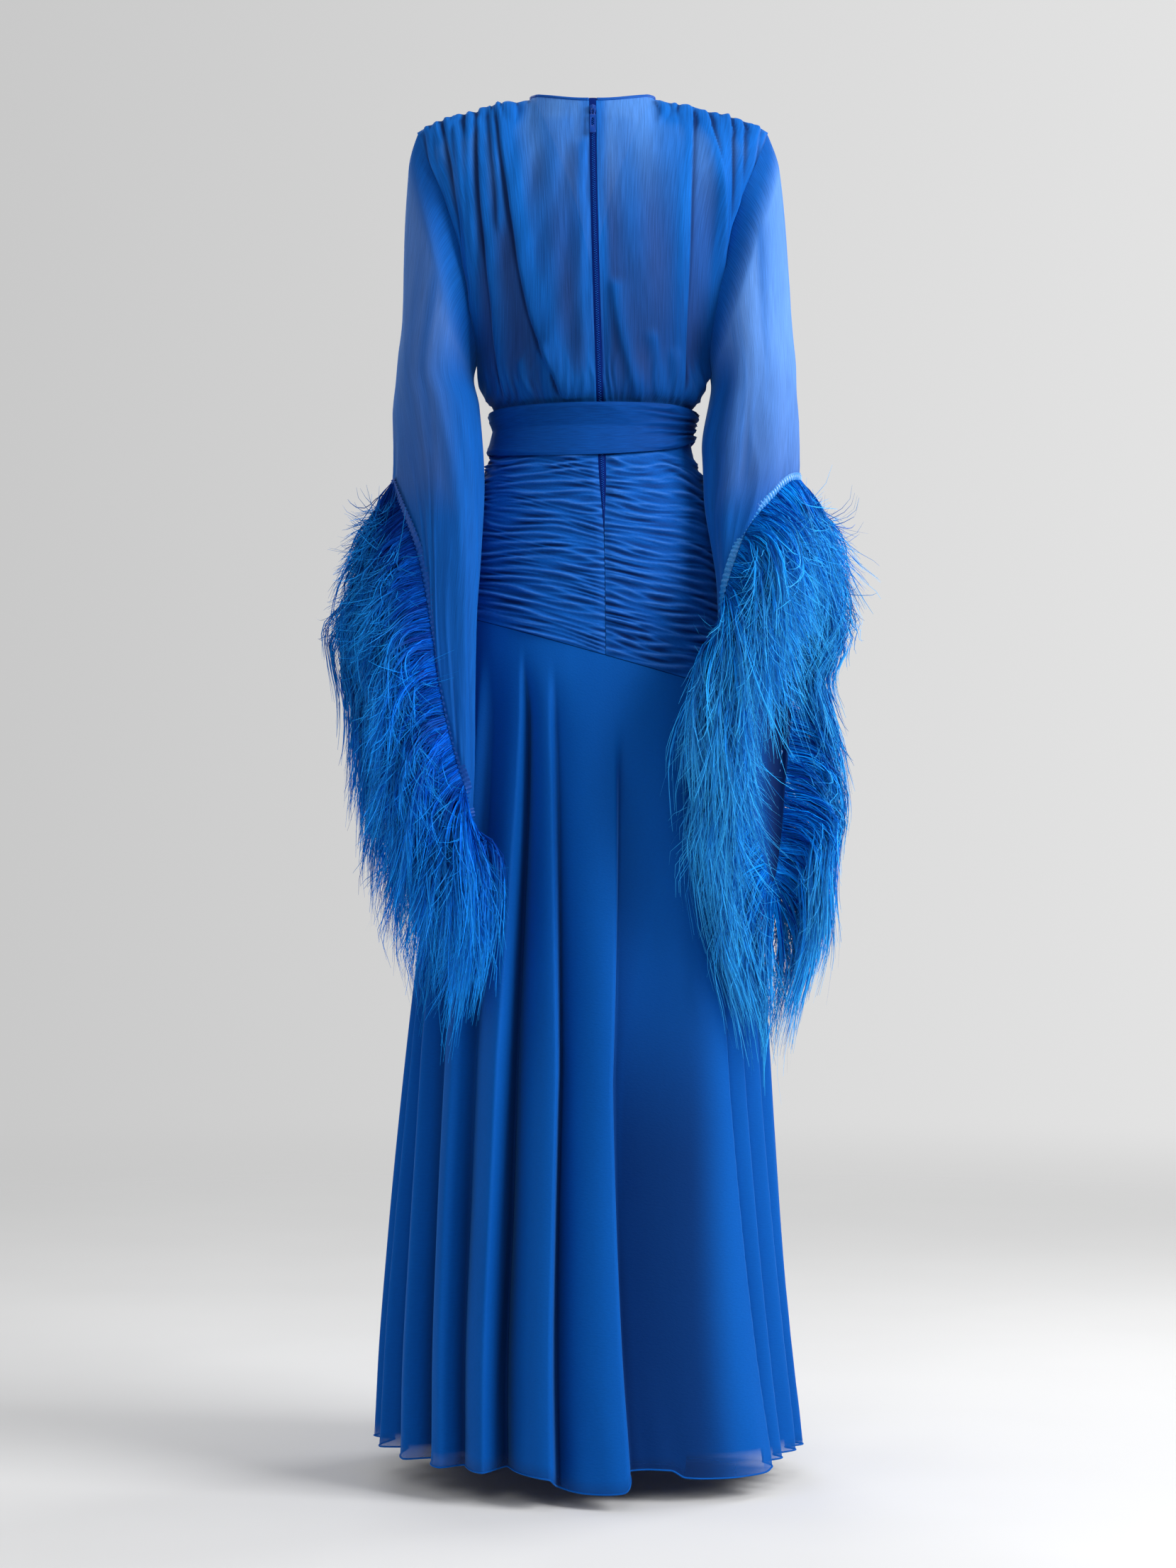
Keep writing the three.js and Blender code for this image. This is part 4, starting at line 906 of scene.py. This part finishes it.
def hem_frame(shape, count):
    """Points along a sleeve's hem, with the ways along it, away from the sleeve and out of its cloth."""
    s = np.arange(count) / count
    if shape["side"] < 0:
        s = (1 - s) % 1
    edge = sleeve_points(shape, s, np.ones(count))
    above = sleeve_points(shape, s, np.full(count, 0.9))
    step = unit(above - edge)
    tangent = unit(np.roll(edge, -1, axis=0) - np.roll(edge, 1, axis=0))
    away = unit(tangent * np.sum(step * tangent, axis=1, keepdims=True) - step)
    return edge, tangent, away, unit(np.cross(tangent, step)), s


RIBBON_WIDTH = 8.0
PUCKERS = 150


def cuff_ribbon(name, shape, material):
    """The ribbon that covers the feathers' roots, lightly puckered by its stitches."""
    edge, _, away, out, s = hem_frame(shape, 900)
    pucker = np.sin(2 * math.pi * PUCKERS * s + 2 * np.sin(31 * s))[:, None]
    rows = []
    for share in (0, 0.12, 0.5, 0.88, 1):
        crown = 0.5 * math.sin(math.pi * share)
        height = 1.5 + crown + pucker * (1 - math.sin(math.pi * share))
        rows.append(edge + out * height - away * (share * RIBBON_WIDTH - 0.5))
    return grid_mesh(name, np.stack(rows), material, ring=True)


# The feathers


def clear_of_skirt(points, gap):
    """Moves points that would lie inside the skirt out to a gap from it."""
    drop = np.maximum(-points[..., 2], WAIST_DROP)
    half = read(LOWER, "drop", drop, "half") + gap
    back = read(LOWER, "drop", drop, "back")
    front = read(LOWER, "drop", drop, "front")
    depth = np.where(points[..., 1] >= 0, back, front) + gap
    reach = np.hypot(points[..., 0] / half, points[..., 1] / depth)
    scale = np.where(reach < 1, 1 / np.maximum(reach, 1e-6), 1)
    moved = points.copy()
    moved[..., 0] *= scale
    moved[..., 1] *= scale
    return moved


# How near the middle and how far out the feathers hang at each drop
REACH = {
    "left": table(("drop", "inner", "outer"), [
        (400, 200, 258), (520, 150, 278), (575, 112, 291), (640, 112, 270), (680, 112, 254),
        (720, 113, 249), (800, 115, 250), (860, 118, 250), (900, 121, 245), (940, 126, 232),
        (1000, 138, 200), (1068, 152, 178),
    ]),
    "right": table(("drop", "inner", "outer"), [
        (400, 190, 256), (480, 165, 284), (545, 150, 300), (590, 132, 294), (622, 120, 268),
        (654, 112, 244), (690, 100, 252), (740, 96, 268), (800, 102, 272), (855, 114, 252),
        (950, 141, 240), (1020, 170, 212), (1080, 184, 194),
    ]),
}
# How much more the feathers turn out of the sleeve's surface and how much longer they are, round its hem
LEAN = {
    "left": table(("s", "more", "longer"), [
        (0, 0.1, 0), (0.3, 0.1, 0), (0.5, 0, 0), (0.7, 0, 0), (1, 0.1, 0),
    ]),
    "right": table(("s", "more", "longer"), [
        (0, 0.1, 0), (0.12, 0.1, 0.2), (0.25, 0.1, 1), (0.36, -0.3, 1), (0.5, -0.3, 0), (0.6, 0, 0),
        (1, 0.1, 0),
    ]),
}
REACH_BACK = 246
HEM_POINTS = 720
GUIDE_STEPS = 24
BARB_STEPS = 8
PLUMES = 280
PLUME_BARBS = 30
WISPS = 6
LEAST_SLACK = -40
MOST_SLACK = 18
SKIRT_GAP = 6.5
ROOT_SPREAD = 2.8
SHORTEST_PLUME = 160
LONGEST_PLUME = 222
# Painted shade and light at the top of the trim's hem: its tone is scaled down there as painted shade on the
# wearer's left, and up as painted light on the right.
UPPER_TONE = {"left": 0.25, "right": 1.3}


def within_reach(points, key, gap, slack):
    """Keeps points off the skirt, and eases those beyond the trim's reach back towards it."""
    side = SLEEVES[key]["side"]
    points = clear_of_skirt(points, gap)
    drop = -points[..., 2]
    x = points[..., 0] * side
    inner = read(REACH[key], "drop", drop, "inner") - 1.5 * slack
    outer = read(REACH[key], "drop", drop, "outer") + slack
    x = np.where(x < inner, inner + 0.22 * (x - inner), x)
    x = np.where(x > outer, outer + 0.3 * (x - outer), x)
    points[..., 0] = x * side
    y = points[..., 1]
    points[..., 1] = np.where(y > REACH_BACK, REACH_BACK + 0.25 * (y - REACH_BACK), y)
    return clear_of_skirt(points, gap)


def plume_guides(key, rng, leans):
    """The bowed middle lines of the plumes along a sleeve's hem."""
    edge, tangent, away, out, s = hem_frame(SLEEVES[key], HEM_POINTS)
    place = (np.arange(PLUMES) + rng.uniform(-0.5, 0.5, PLUMES)) / PLUMES * HEM_POINTS
    place = np.mod(place, HEM_POINTS).astype(int)
    share = smooth(-edge[place, 2], 430, 860)
    longer = 1 + 0.28 * read(LEAN[key], "s", s[place], "longer")
    length = lerp(SHORTEST_PLUME, LONGEST_PLUME, share) * longer * rng.uniform(0.6, 1.05, PLUMES)
    lean = rng.uniform(leans[0], leans[1], PLUMES) + read(LEAN[key], "s", s[place], "more")
    leave = away[place] + lean[:, None] * out[place] + rng.normal(0, 0.2, PLUMES)[:, None] * tangent[place]
    leave = unit(leave)
    sway = rng.normal(0, 0.13, (PLUMES, 3))
    position = edge[place] + out[place] * 0.3
    line = [position]
    for k in range(1, GUIDE_STEPS + 1):
        along = (k - 0.5) / GUIDE_STEPS
        bow = 0.93 * smooth(along, -0.2, 0.68)
        heading = unit(leave * (1 - bow) + DOWN * bow + sway * along)
        position = position + heading * (length / GUIDE_STEPS)[:, None]
        line.append(position)
    return np.stack(line, axis=1), length, tangent[place]


def feathers(name, key, material, seed, leans):
    """Plumes of fine flat barbs. The barbs keep to their plume's guide in wisps that part and curl."""
    rng = np.random.default_rng(seed)
    guide, plume_length, tangent = plume_guides(key, rng, leans)
    count = PLUMES * PLUME_BARBS
    owner = np.repeat(np.arange(PLUMES), PLUME_BARBS)
    wisp = owner * WISPS + rng.integers(0, WISPS, count)
    wisps = PLUMES * WISPS
    length = rng.uniform(0.35, 1.05, count) ** 0.7
    rings = BARB_STEPS + 1

    def scatter(by_wisp, by_barb, *axes):
        """Random offsets, part of each one shared by the barbs of a wisp."""
        shared = by_wisp * rng.normal(0, 1, (wisps, *axes))[wisp]
        return shared + by_barb * rng.normal(0, 1, (count, *axes))

    t = np.linspace(0, 1, rings) ** 0.9
    at = np.clip(length[:, None] * t * GUIDE_STEPS, 0, GUIDE_STEPS - 0.001)
    low = at.astype(int)
    part = (at - low)[..., None]
    line = guide[owner[:, None], low] * (1 - part) + guide[owner[:, None], low + 1] * part
    beyond = np.maximum(length[:, None] * t - 1, 0)[..., None] * plume_length[owner][:, None, None]
    line = line + beyond * DOWN
    shift = scatter(2.8, 1.1)[:, None, None] * tangent[owner][:, None, :]
    line = line + shift * (1 - 0.4 * t)[None, :, None]
    spread = np.random.default_rng(seed + 100).normal(0, ROOT_SPREAD, count)
    spread = spread[:, None, None] * tangent[owner][:, None, :]
    line = line + spread * (1 - smooth(t, 0.1, 0.5))[None, :, None]
    line = line + scatter(7.5, 2.2, 3)[:, None, :] * (t**1.35)[None, :, None]
    turns = rng.uniform(0.8, 2.0, wisps)[wisp] + rng.normal(0, 0.08, count)
    phase = rng.uniform(0, 1, wisps)[wisp] + rng.normal(0, 0.06, count)
    wave = np.sin(2 * math.pi * (t[None, :] * turns[:, None] + phase[:, None]))
    line = line + (3.8 * wave * t)[..., None] * unit(rng.normal(0, 1, (wisps, 3)))[wisp][:, None, :]
    curl = scatter(15.0, 5.0, 3)
    hooked = (np.maximum(t - 0.45, 0) / 0.55)[None, :, None] ** 1.8
    line = line + curl[:, None, :] * hooked
    line[..., 2] += 0.4 * np.linalg.norm(curl, axis=1)[:, None] * hooked[..., 0]
    keep = smooth(t, 0.05, 0.3)[None, :, None]
    slack = rng.normal(-3, 10, wisps)[wisp] + rng.normal(0, 2, count)
    slack = np.clip(slack, LEAST_SLACK, MOST_SLACK)[:, None]
    line = line * (1 - keep) + within_reach(line.copy(), key, SKIRT_GAP, slack) * keep
    ahead = unit(np.gradient(line, axis=1))
    flat = unit(np.cross(ahead, unit(rng.normal(0, 1, (count, 3)))[:, None, :]))
    width = np.interp(t, [0, 0.2, 0.7, 1], [0.35, 0.55, 0.5, 0.12])[None, :, None]
    width = width * rng.uniform(0.6, 1.25, count)[:, None, None]
    vertices = np.stack([line - flat * width, line + flat * width], axis=2).reshape(-1, 3)
    first = (np.arange(count) * rings)[:, None] * 2 + 2 * np.arange(BARB_STEPS)[None, :]
    quads = np.stack([first, first + 1, first + 3, first + 2], axis=-1).reshape(-1, 4)
    obj = new_mesh(name, vertices, quads, material)
    tone = rng.uniform(0, 1, wisps)[wisp] ** 2.0 + 0.4 * rng.uniform(0, 1, count) ** 1.6
    # Painted shade at the top of the hem on the wearer's left, painted light there on the right.
    tone = tone * lerp(UPPER_TONE[key], 1, smooth(-line[:, 0, 2], 430, 720))
    for attribute, values in (("along", t[None, :, None]), ("shade", tone[:, None, None])):
        point_values(obj, attribute, np.broadcast_to(values, (count, rings, 2)))
    return obj


# The zip

SLIDER_DROP = 24
SLIDER_TILT = math.radians(20.76)
HINGE_OUT = 3.5
TOOTH_PITCH = 1.25
TOOTH_RADIUS = 0.42
SHARP_ANGLE = 0.9


def zip_y(drop):
    on_yoke = lower_point(90.0, drop)[..., 1]
    return np.where(drop < WAIST_DROP, bodice_depth(np.zeros_like(drop), drop, True), on_yoke)


def zip_line(drops):
    """Points down the middle of the zip and the way out of it."""
    line = stack(back_seam_x(drops), zip_y(drops), -drops)
    ahead = unit(np.gradient(line, axis=0))
    out = unit(np.cross(ahead, SIDEWAYS))
    return line, np.where(out[:, 1:2] < 0, -out, out)


def zip_tape():
    drops = np.linspace(ZIP_END_DROP - 6, BACK_NECK_DROP - 3.4, 260)
    line, out = zip_line(drops)
    half = (ZIP_HALF + 0.8) * (1 - smooth(drops, WAIST_DROP + 40, ZIP_END_DROP)) + 0.1
    rows = []
    for share in np.linspace(-1, 1, 9):
        sideways = np.stack([share * half, 0 * half, 0 * half], axis=1)
        rows.append(line - out * (0.3 + 0.5 * abs(share) ** 3) - sideways)
    return grid_mesh("tape_cloth", np.stack(rows, axis=1), TAPE)


def zip_coil():
    """The closed coil: rounded teeth from both sides in turn."""
    drops = np.concatenate([np.arange(start, stop, TOOTH_PITCH) for start, stop in ((30, 348), (404, 470))])
    line, out = zip_line(drops)
    parts = []
    for k, (p, way) in enumerate(zip(line, out)):
        side = 1 if k % 2 else -1
        narrow = 1 - float(smooth(drops[k], WAIST_DROP + 40, ZIP_END_DROP))
        reach = np.array([-0.25, 0.5, 1.25, 1.7]) * side * narrow
        height = np.array([0.25, 0.75, 0.7, 0.1])
        tooth = p + reach[:, None] * SIDEWAYS + height[:, None] * way
        parts.append(tube(tooth, TOOTH_RADIUS, sides=4))
    return new_mesh("zip_coil", *joined(parts), COIL)


def on_zip(points, out=0.0):
    """Points of the slider's own frame, x across, y out and z up it, in the dress's frame."""
    x, y, z = points[:, 0], points[:, 1] + out, points[:, 2]
    c, s = math.cos(SLIDER_TILT), math.sin(SLIDER_TILT)
    place = zip_y(np.array([float(SLIDER_DROP)]))[0] + 0.5
    across = back_seam_x(SLIDER_DROP) + x
    return np.stack([across, place + y * c - z * s, -SLIDER_DROP + y * s + z * c], axis=1)


def plate(outline, thick, bevel, out=0.0, holes=()):
    """A flat plate with rounded edges from an outline in x and z, its middle at y = out, with holes."""
    maker = bmesh.new()
    loops = [outline, *holes]
    edges = []
    for loop in loops:
        corners = [maker.verts.new((x, -thick / 2, z)) for x, z in loop]
        edges += [maker.edges.new((corners[k], corners[(k + 1) % len(corners)])) for k in range(len(corners))]
    made = bmesh.ops.triangle_fill(maker, use_beauty=True, use_dissolve=False, edges=edges)
    faces = [item for item in made["geom"] if isinstance(item, bmesh.types.BMFace)]
    grown = bmesh.ops.extrude_face_region(maker, geom=faces)
    raised = [item for item in grown["geom"] if isinstance(item, bmesh.types.BMVert)]
    bmesh.ops.translate(maker, vec=(0, thick, 0), verts=raised)
    bmesh.ops.recalc_face_normals(maker, faces=maker.faces)
    sharp = [edge for edge in maker.edges if edge.calc_face_angle(0) > SHARP_ANGLE]
    bmesh.ops.bevel(maker, geom=sharp, offset=bevel, segments=2, profile=0.5, affect="EDGES")
    bmesh.ops.translate(maker, vec=(0, out, 0), verts=maker.verts)
    return maker


def rounded(half_x, low, high, radius, steps=5):
    """Corners of a rounded rectangle in x and z."""
    corners = []
    for cx, cz, start in ((1, 1, 0), (-1, 1, 90), (-1, -1, 180), (1, -1, 270)):
        for k in range(steps):
            a = math.radians(start + 90 * k / (steps - 1))
            x = cx * (half_x - radius) + radius * math.cos(a)
            z = (high - radius if cz > 0 else low + radius) + radius * math.sin(a)
            corners.append((x, z))
    return corners


def metal(name, makers, out):
    """Bevelled plates and tubes of the slider's frame as one object."""
    joint = bmesh.new()
    for maker in makers:
        mesh = bpy.data.meshes.new("made")
        maker.to_mesh(mesh)
        joint.from_mesh(mesh)
        bpy.data.meshes.remove(mesh)
    points = on_zip(np.array([vert.co[:] for vert in joint.verts]), out) * MM
    for vert, place in zip(joint.verts, points):
        vert.co = place
    mesh = bpy.data.meshes.new(name)
    joint.to_mesh(mesh)
    mesh.materials.append(LACQUER)
    mesh.shade_smooth()
    return link(bpy.data.objects.new(name, mesh))


def tube_maker(path, high, wide, sides, up, closed=False):
    maker = bmesh.new()
    points, faces = tube(path, high, wide, sides, closed, np.array(up))
    verts = [maker.verts.new(p) for p in points]
    for face in faces:
        maker.faces.new([verts[k] for k in face])
    return maker


def zip_slider():
    body = [(0, 5.0), (2.6, 5.0), (3.8, 3.6), (3.7, 0.5), (2.7, -4.2), (1.9, -5.0)]
    outline = body + [(-x, z) for x, z in reversed(body[1:])]
    base = plate(outline, 0.9, 0.25, 0.6)
    crown = plate([(0.86 * x, 0.9 * z) for x, z in outline], 0.9, 0.3, 1.95)
    neck = plate([(1.2, 3.4), (-1.2, 3.4), (-1.2, -2.4), (1.2, -2.4)], 1.2, 0.1, 1.3)
    rising = [(1.6, 3.4), (4.2, 3.5), (5.3, 2.9), (5.6, 1.5)]
    arch = [(0, y, z) for y, z in rising] + [(0, y, -z) for y, z in reversed(rising)]
    bridge = tube_maker(arch, 0.45, 0.75, 10, (0.0, 1.0, 0.01))
    return metal("slider_body", [base, crown, neck, bridge], 0.0)


def zip_pull():
    hole = rounded(1.5, -22.5, -13.0, 0.8)[::-1]
    tab = plate(rounded(3.5, -31.5, -8.2, 1.1), 1.2, 0.3, holes=[hole])
    ring = []
    for a in np.linspace(0, 2 * math.pi, 33)[:-1]:
        ring.append((2.0 * math.cos(a), 0.0, -4.6 + 5.1 * math.sin(a)))
    loop = tube_maker(ring, 0.55, 0.6, 8, (0.0, 1.0, 0.0), closed=True)
    return metal("pull_tab", [tab, loop], HINGE_OUT)


def on_dress(obj, slot, *nodes):
    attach(obj, "dress")
    if nodes:
        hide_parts(*nodes)
    return obj


# The pieces

back_left = bodice_panel("cloth_back_left", True, (1,), 110, 90, 11)
back_right = bodice_panel("cloth_back_right", True, (-1,), 110, 90, 14)
front = bodice_panel("cloth_front", False, (-1, 1), 72, 70, 17)
on_dress(back_left, "bodice", "bodice_back_left")
on_dress(back_right, "bodice", "bodice_back_right")
on_dress(front, "bodice", "bodice_front")

neck, neck_up, neck_out = neck_line()
binding = new_mesh(
    "neck_binding_cloth", *tube(neck + neck_up * BINDING_HALF, BINDING_HALF, 1.1, 8, up=neck_up), BINDING
)
on_dress(binding, "bodice", "neck_binding")
seam = stitches(neck + neck_up * 0.9 + neck_out * 1.15, 1.7, 0.9, 0.16, neck_out)
on_dress(new_mesh("neck_stitches", *seam, THREAD), "bodice")

yokes = (
    ("back_left", lambda a, d: lerp(0.0, back_edge_turn(d, 1), a), 70, 260, 51, (0.2, 0.36)),
    ("back_right", lambda a, d: lerp(back_edge_turn(d, -1), 180.0, a), 70, 260, 57, (0.2, 0.36)),
    ("front", lambda a, d: lerp(180.0, 360.0, a), 90, 180, 63, (0.37, 0.37)),
)
for key, turns_at, columns, rows, seed, flat in yokes:
    obj = yoke_panel("cloth_yoke_" + key, turns_at, columns, rows, seed)
    on_dress(obj, "yoke", "hip_yoke_" + key)

hem = []
for key, start, flat, area in (("back", 0, (1.0, 0.95), 0.69), ("front", 180, (0.92, 0.95), 0.63)):
    obj, grid = skirt_panel("cloth_skirt_" + key, start, start + 180, 330, 90)
    on_dress(obj, "skirt", "skirt_" + key)
    hem.append(grid[0])
hem = np.concatenate(hem)
on_dress(new_mesh("hem_roll", *tube(hem + np.array([0, 0, 0.6]), 1.0, sides=6, closed=True), SKIRT), "skirt")

grid, hollow = sash_grid(260, 44)
sash = grid_mesh("cloth_sash", grid, SASH_CLOTH, ring=True, hollow=hollow)
on_dress(sash, "sash", "waist_sash")

CUFFS = (("left", 71, FEATHER_LEFT, RIBBON_LEFT), ("right", 77, FEATHER_RIGHT_LIT, RIBBON_RIGHT_LIT))
for key, seed, plume_material, ribbon_material in CUFFS:
    sleeve = sleeve_mesh("cloth_sleeve_" + key, SLEEVES[key], 170, 90, seed)
    on_dress(sleeve, "sleeve", "sleeve_" + key)
    for layer, leans in enumerate(((-0.1, 0.3), (0.2, 0.8))):
        trim = feathers(f"feathers_{key}_{layer + 1}", key, plume_material, seed + 3 * layer, leans)
        on_dress(trim, "feather", "feather_trim_" + key)
    ribbon = cuff_ribbon("cuff_ribbon_" + key, SLEEVES[key], ribbon_material)
    on_dress(ribbon, "feather")

tape = zip_tape()
on_dress(tape, "zip_tape", "zip_tape")
on_dress(zip_coil(), "zip_tape")
on_dress(zip_slider(), "zip_metal", "zip_slider")
pull = zip_pull()
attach(pull, "zip_pull")
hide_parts("zip_pull")


# The stage, the light and the camera

FLOOR = -1.548


def stage_floor():
    """A round pale floor that fades into the surround at its rim."""
    reach = np.linspace(0.02, 5.5, 40)
    turns = np.linspace(0, 2 * math.pi, 72, endpoint=False)
    r, a = np.meshgrid(reach, turns, indexing="ij")
    grid = np.stack([r * np.cos(a), r * np.sin(a), np.full_like(r, FLOOR)], axis=-1) / MM
    n = Nodes(bpy.data.materials.new("studio_floor"))
    grain = n.noise(n.add("ShaderNodeTexCoord").outputs["Object"], (3, 3, 3), 2)
    n.link(n.ramp(grain, (0.3, grey(0.70)), (0.7, grey(0.72))), n.shader.inputs["Base Color"])
    n.link(n.attribute("solid"), n.shader.inputs["Alpha"])
    paper = n.finish(Roughness=0.9, Specular_IOR_Level=0.1)
    grid_mesh("studio_floor", grid, paper, ring=True, solid=1 - smooth(r, 0.8, 4.4))


def surround():
    """A pale surround, brighter to one side, that gives less light than it shows."""
    n = Nodes(bpy.data.worlds.new("studio_world"))
    seen = n.tree.nodes["Background"]
    given = n.add("ShaderNodeBackground", Strength=0.27)
    axes = n.add("ShaderNodeSeparateXYZ")
    n.link(n.add("ShaderNodeTexCoord").outputs["Generated"], axes.inputs["Vector"])
    n.link(n.span(axes.outputs["X"], -0.17, 0.17, 0.77, 0.58), seen.inputs["Color"])
    mix = n.add("ShaderNodeMixShader")
    n.link(n.add("ShaderNodeLightPath").outputs["Is Camera Ray"], mix.inputs["Fac"])
    n.link(given.outputs["Background"], mix.inputs[1])
    n.link(seen.outputs["Background"], mix.inputs[2])
    n.link(mix.outputs["Shader"], n.tree.nodes["World Output"].inputs["Surface"])
    bpy.context.scene.world = n.owner


def area_light(name, place, aim, size, power):
    data = bpy.data.lights.new(name, "AREA")
    data.size = size
    data.energy = power
    obj = link(bpy.data.objects.new(name, data))
    obj.location = place
    x, y, z = np.array(aim) - np.array(place)
    obj.rotation_euler = (math.atan2(math.hypot(x, y), -z), 0, math.atan2(y, x) - math.pi / 2)
    obj.visible_camera = False


stage_floor()
surround()
area_light("key", (-2.6, 1.5, 0.9), (0, 0, -0.65), 1.7, 124)
area_light("front", (0.4, 3.6, 1.2), (0, 0, -0.8), 1.6, 26)
area_light("rim", (-1.6, -1.1, 0.2), (0, 0, -0.7), 0.9, 20)
area_light("left_rim", (2.2, -0.5, -0.2), (0, 0, -0.8), 1.0, 8)
area_light("top", (-0.5, 0.3, 2.8), (0, 0, -0.2), 2.0, 22)
area_light("far_side", (0.9, -3.6, 1.2), (0, 0, -0.6), 2.0, 42)
area_light("floor", (2.2, 1.6, 1.6), (1.2, 0.2, -1.55), 1.8, 12)
bpy.context.scene.view_settings.view_transform = "Standard"

CAMERA_DISTANCE = 4.0
SENSOR_HEIGHT = 24
# The photo's 2212 pixels at 0.8 mm each
FRAME_HEIGHT = 2.212 * 0.8
camera = link(bpy.data.objects.new("camera", bpy.data.cameras.new("camera")))
camera.data.sensor_fit = "VERTICAL"
camera.data.sensor_height = SENSOR_HEIGHT
camera.data.lens = SENSOR_HEIGHT * CAMERA_DISTANCE / FRAME_HEIGHT
camera.data.clip_end = 50
camera.location = (0.0052, CAMERA_DISTANCE, -0.771)
camera.rotation_euler = (math.pi / 2, 0, math.pi)
bpy.context.scene.camera = camera
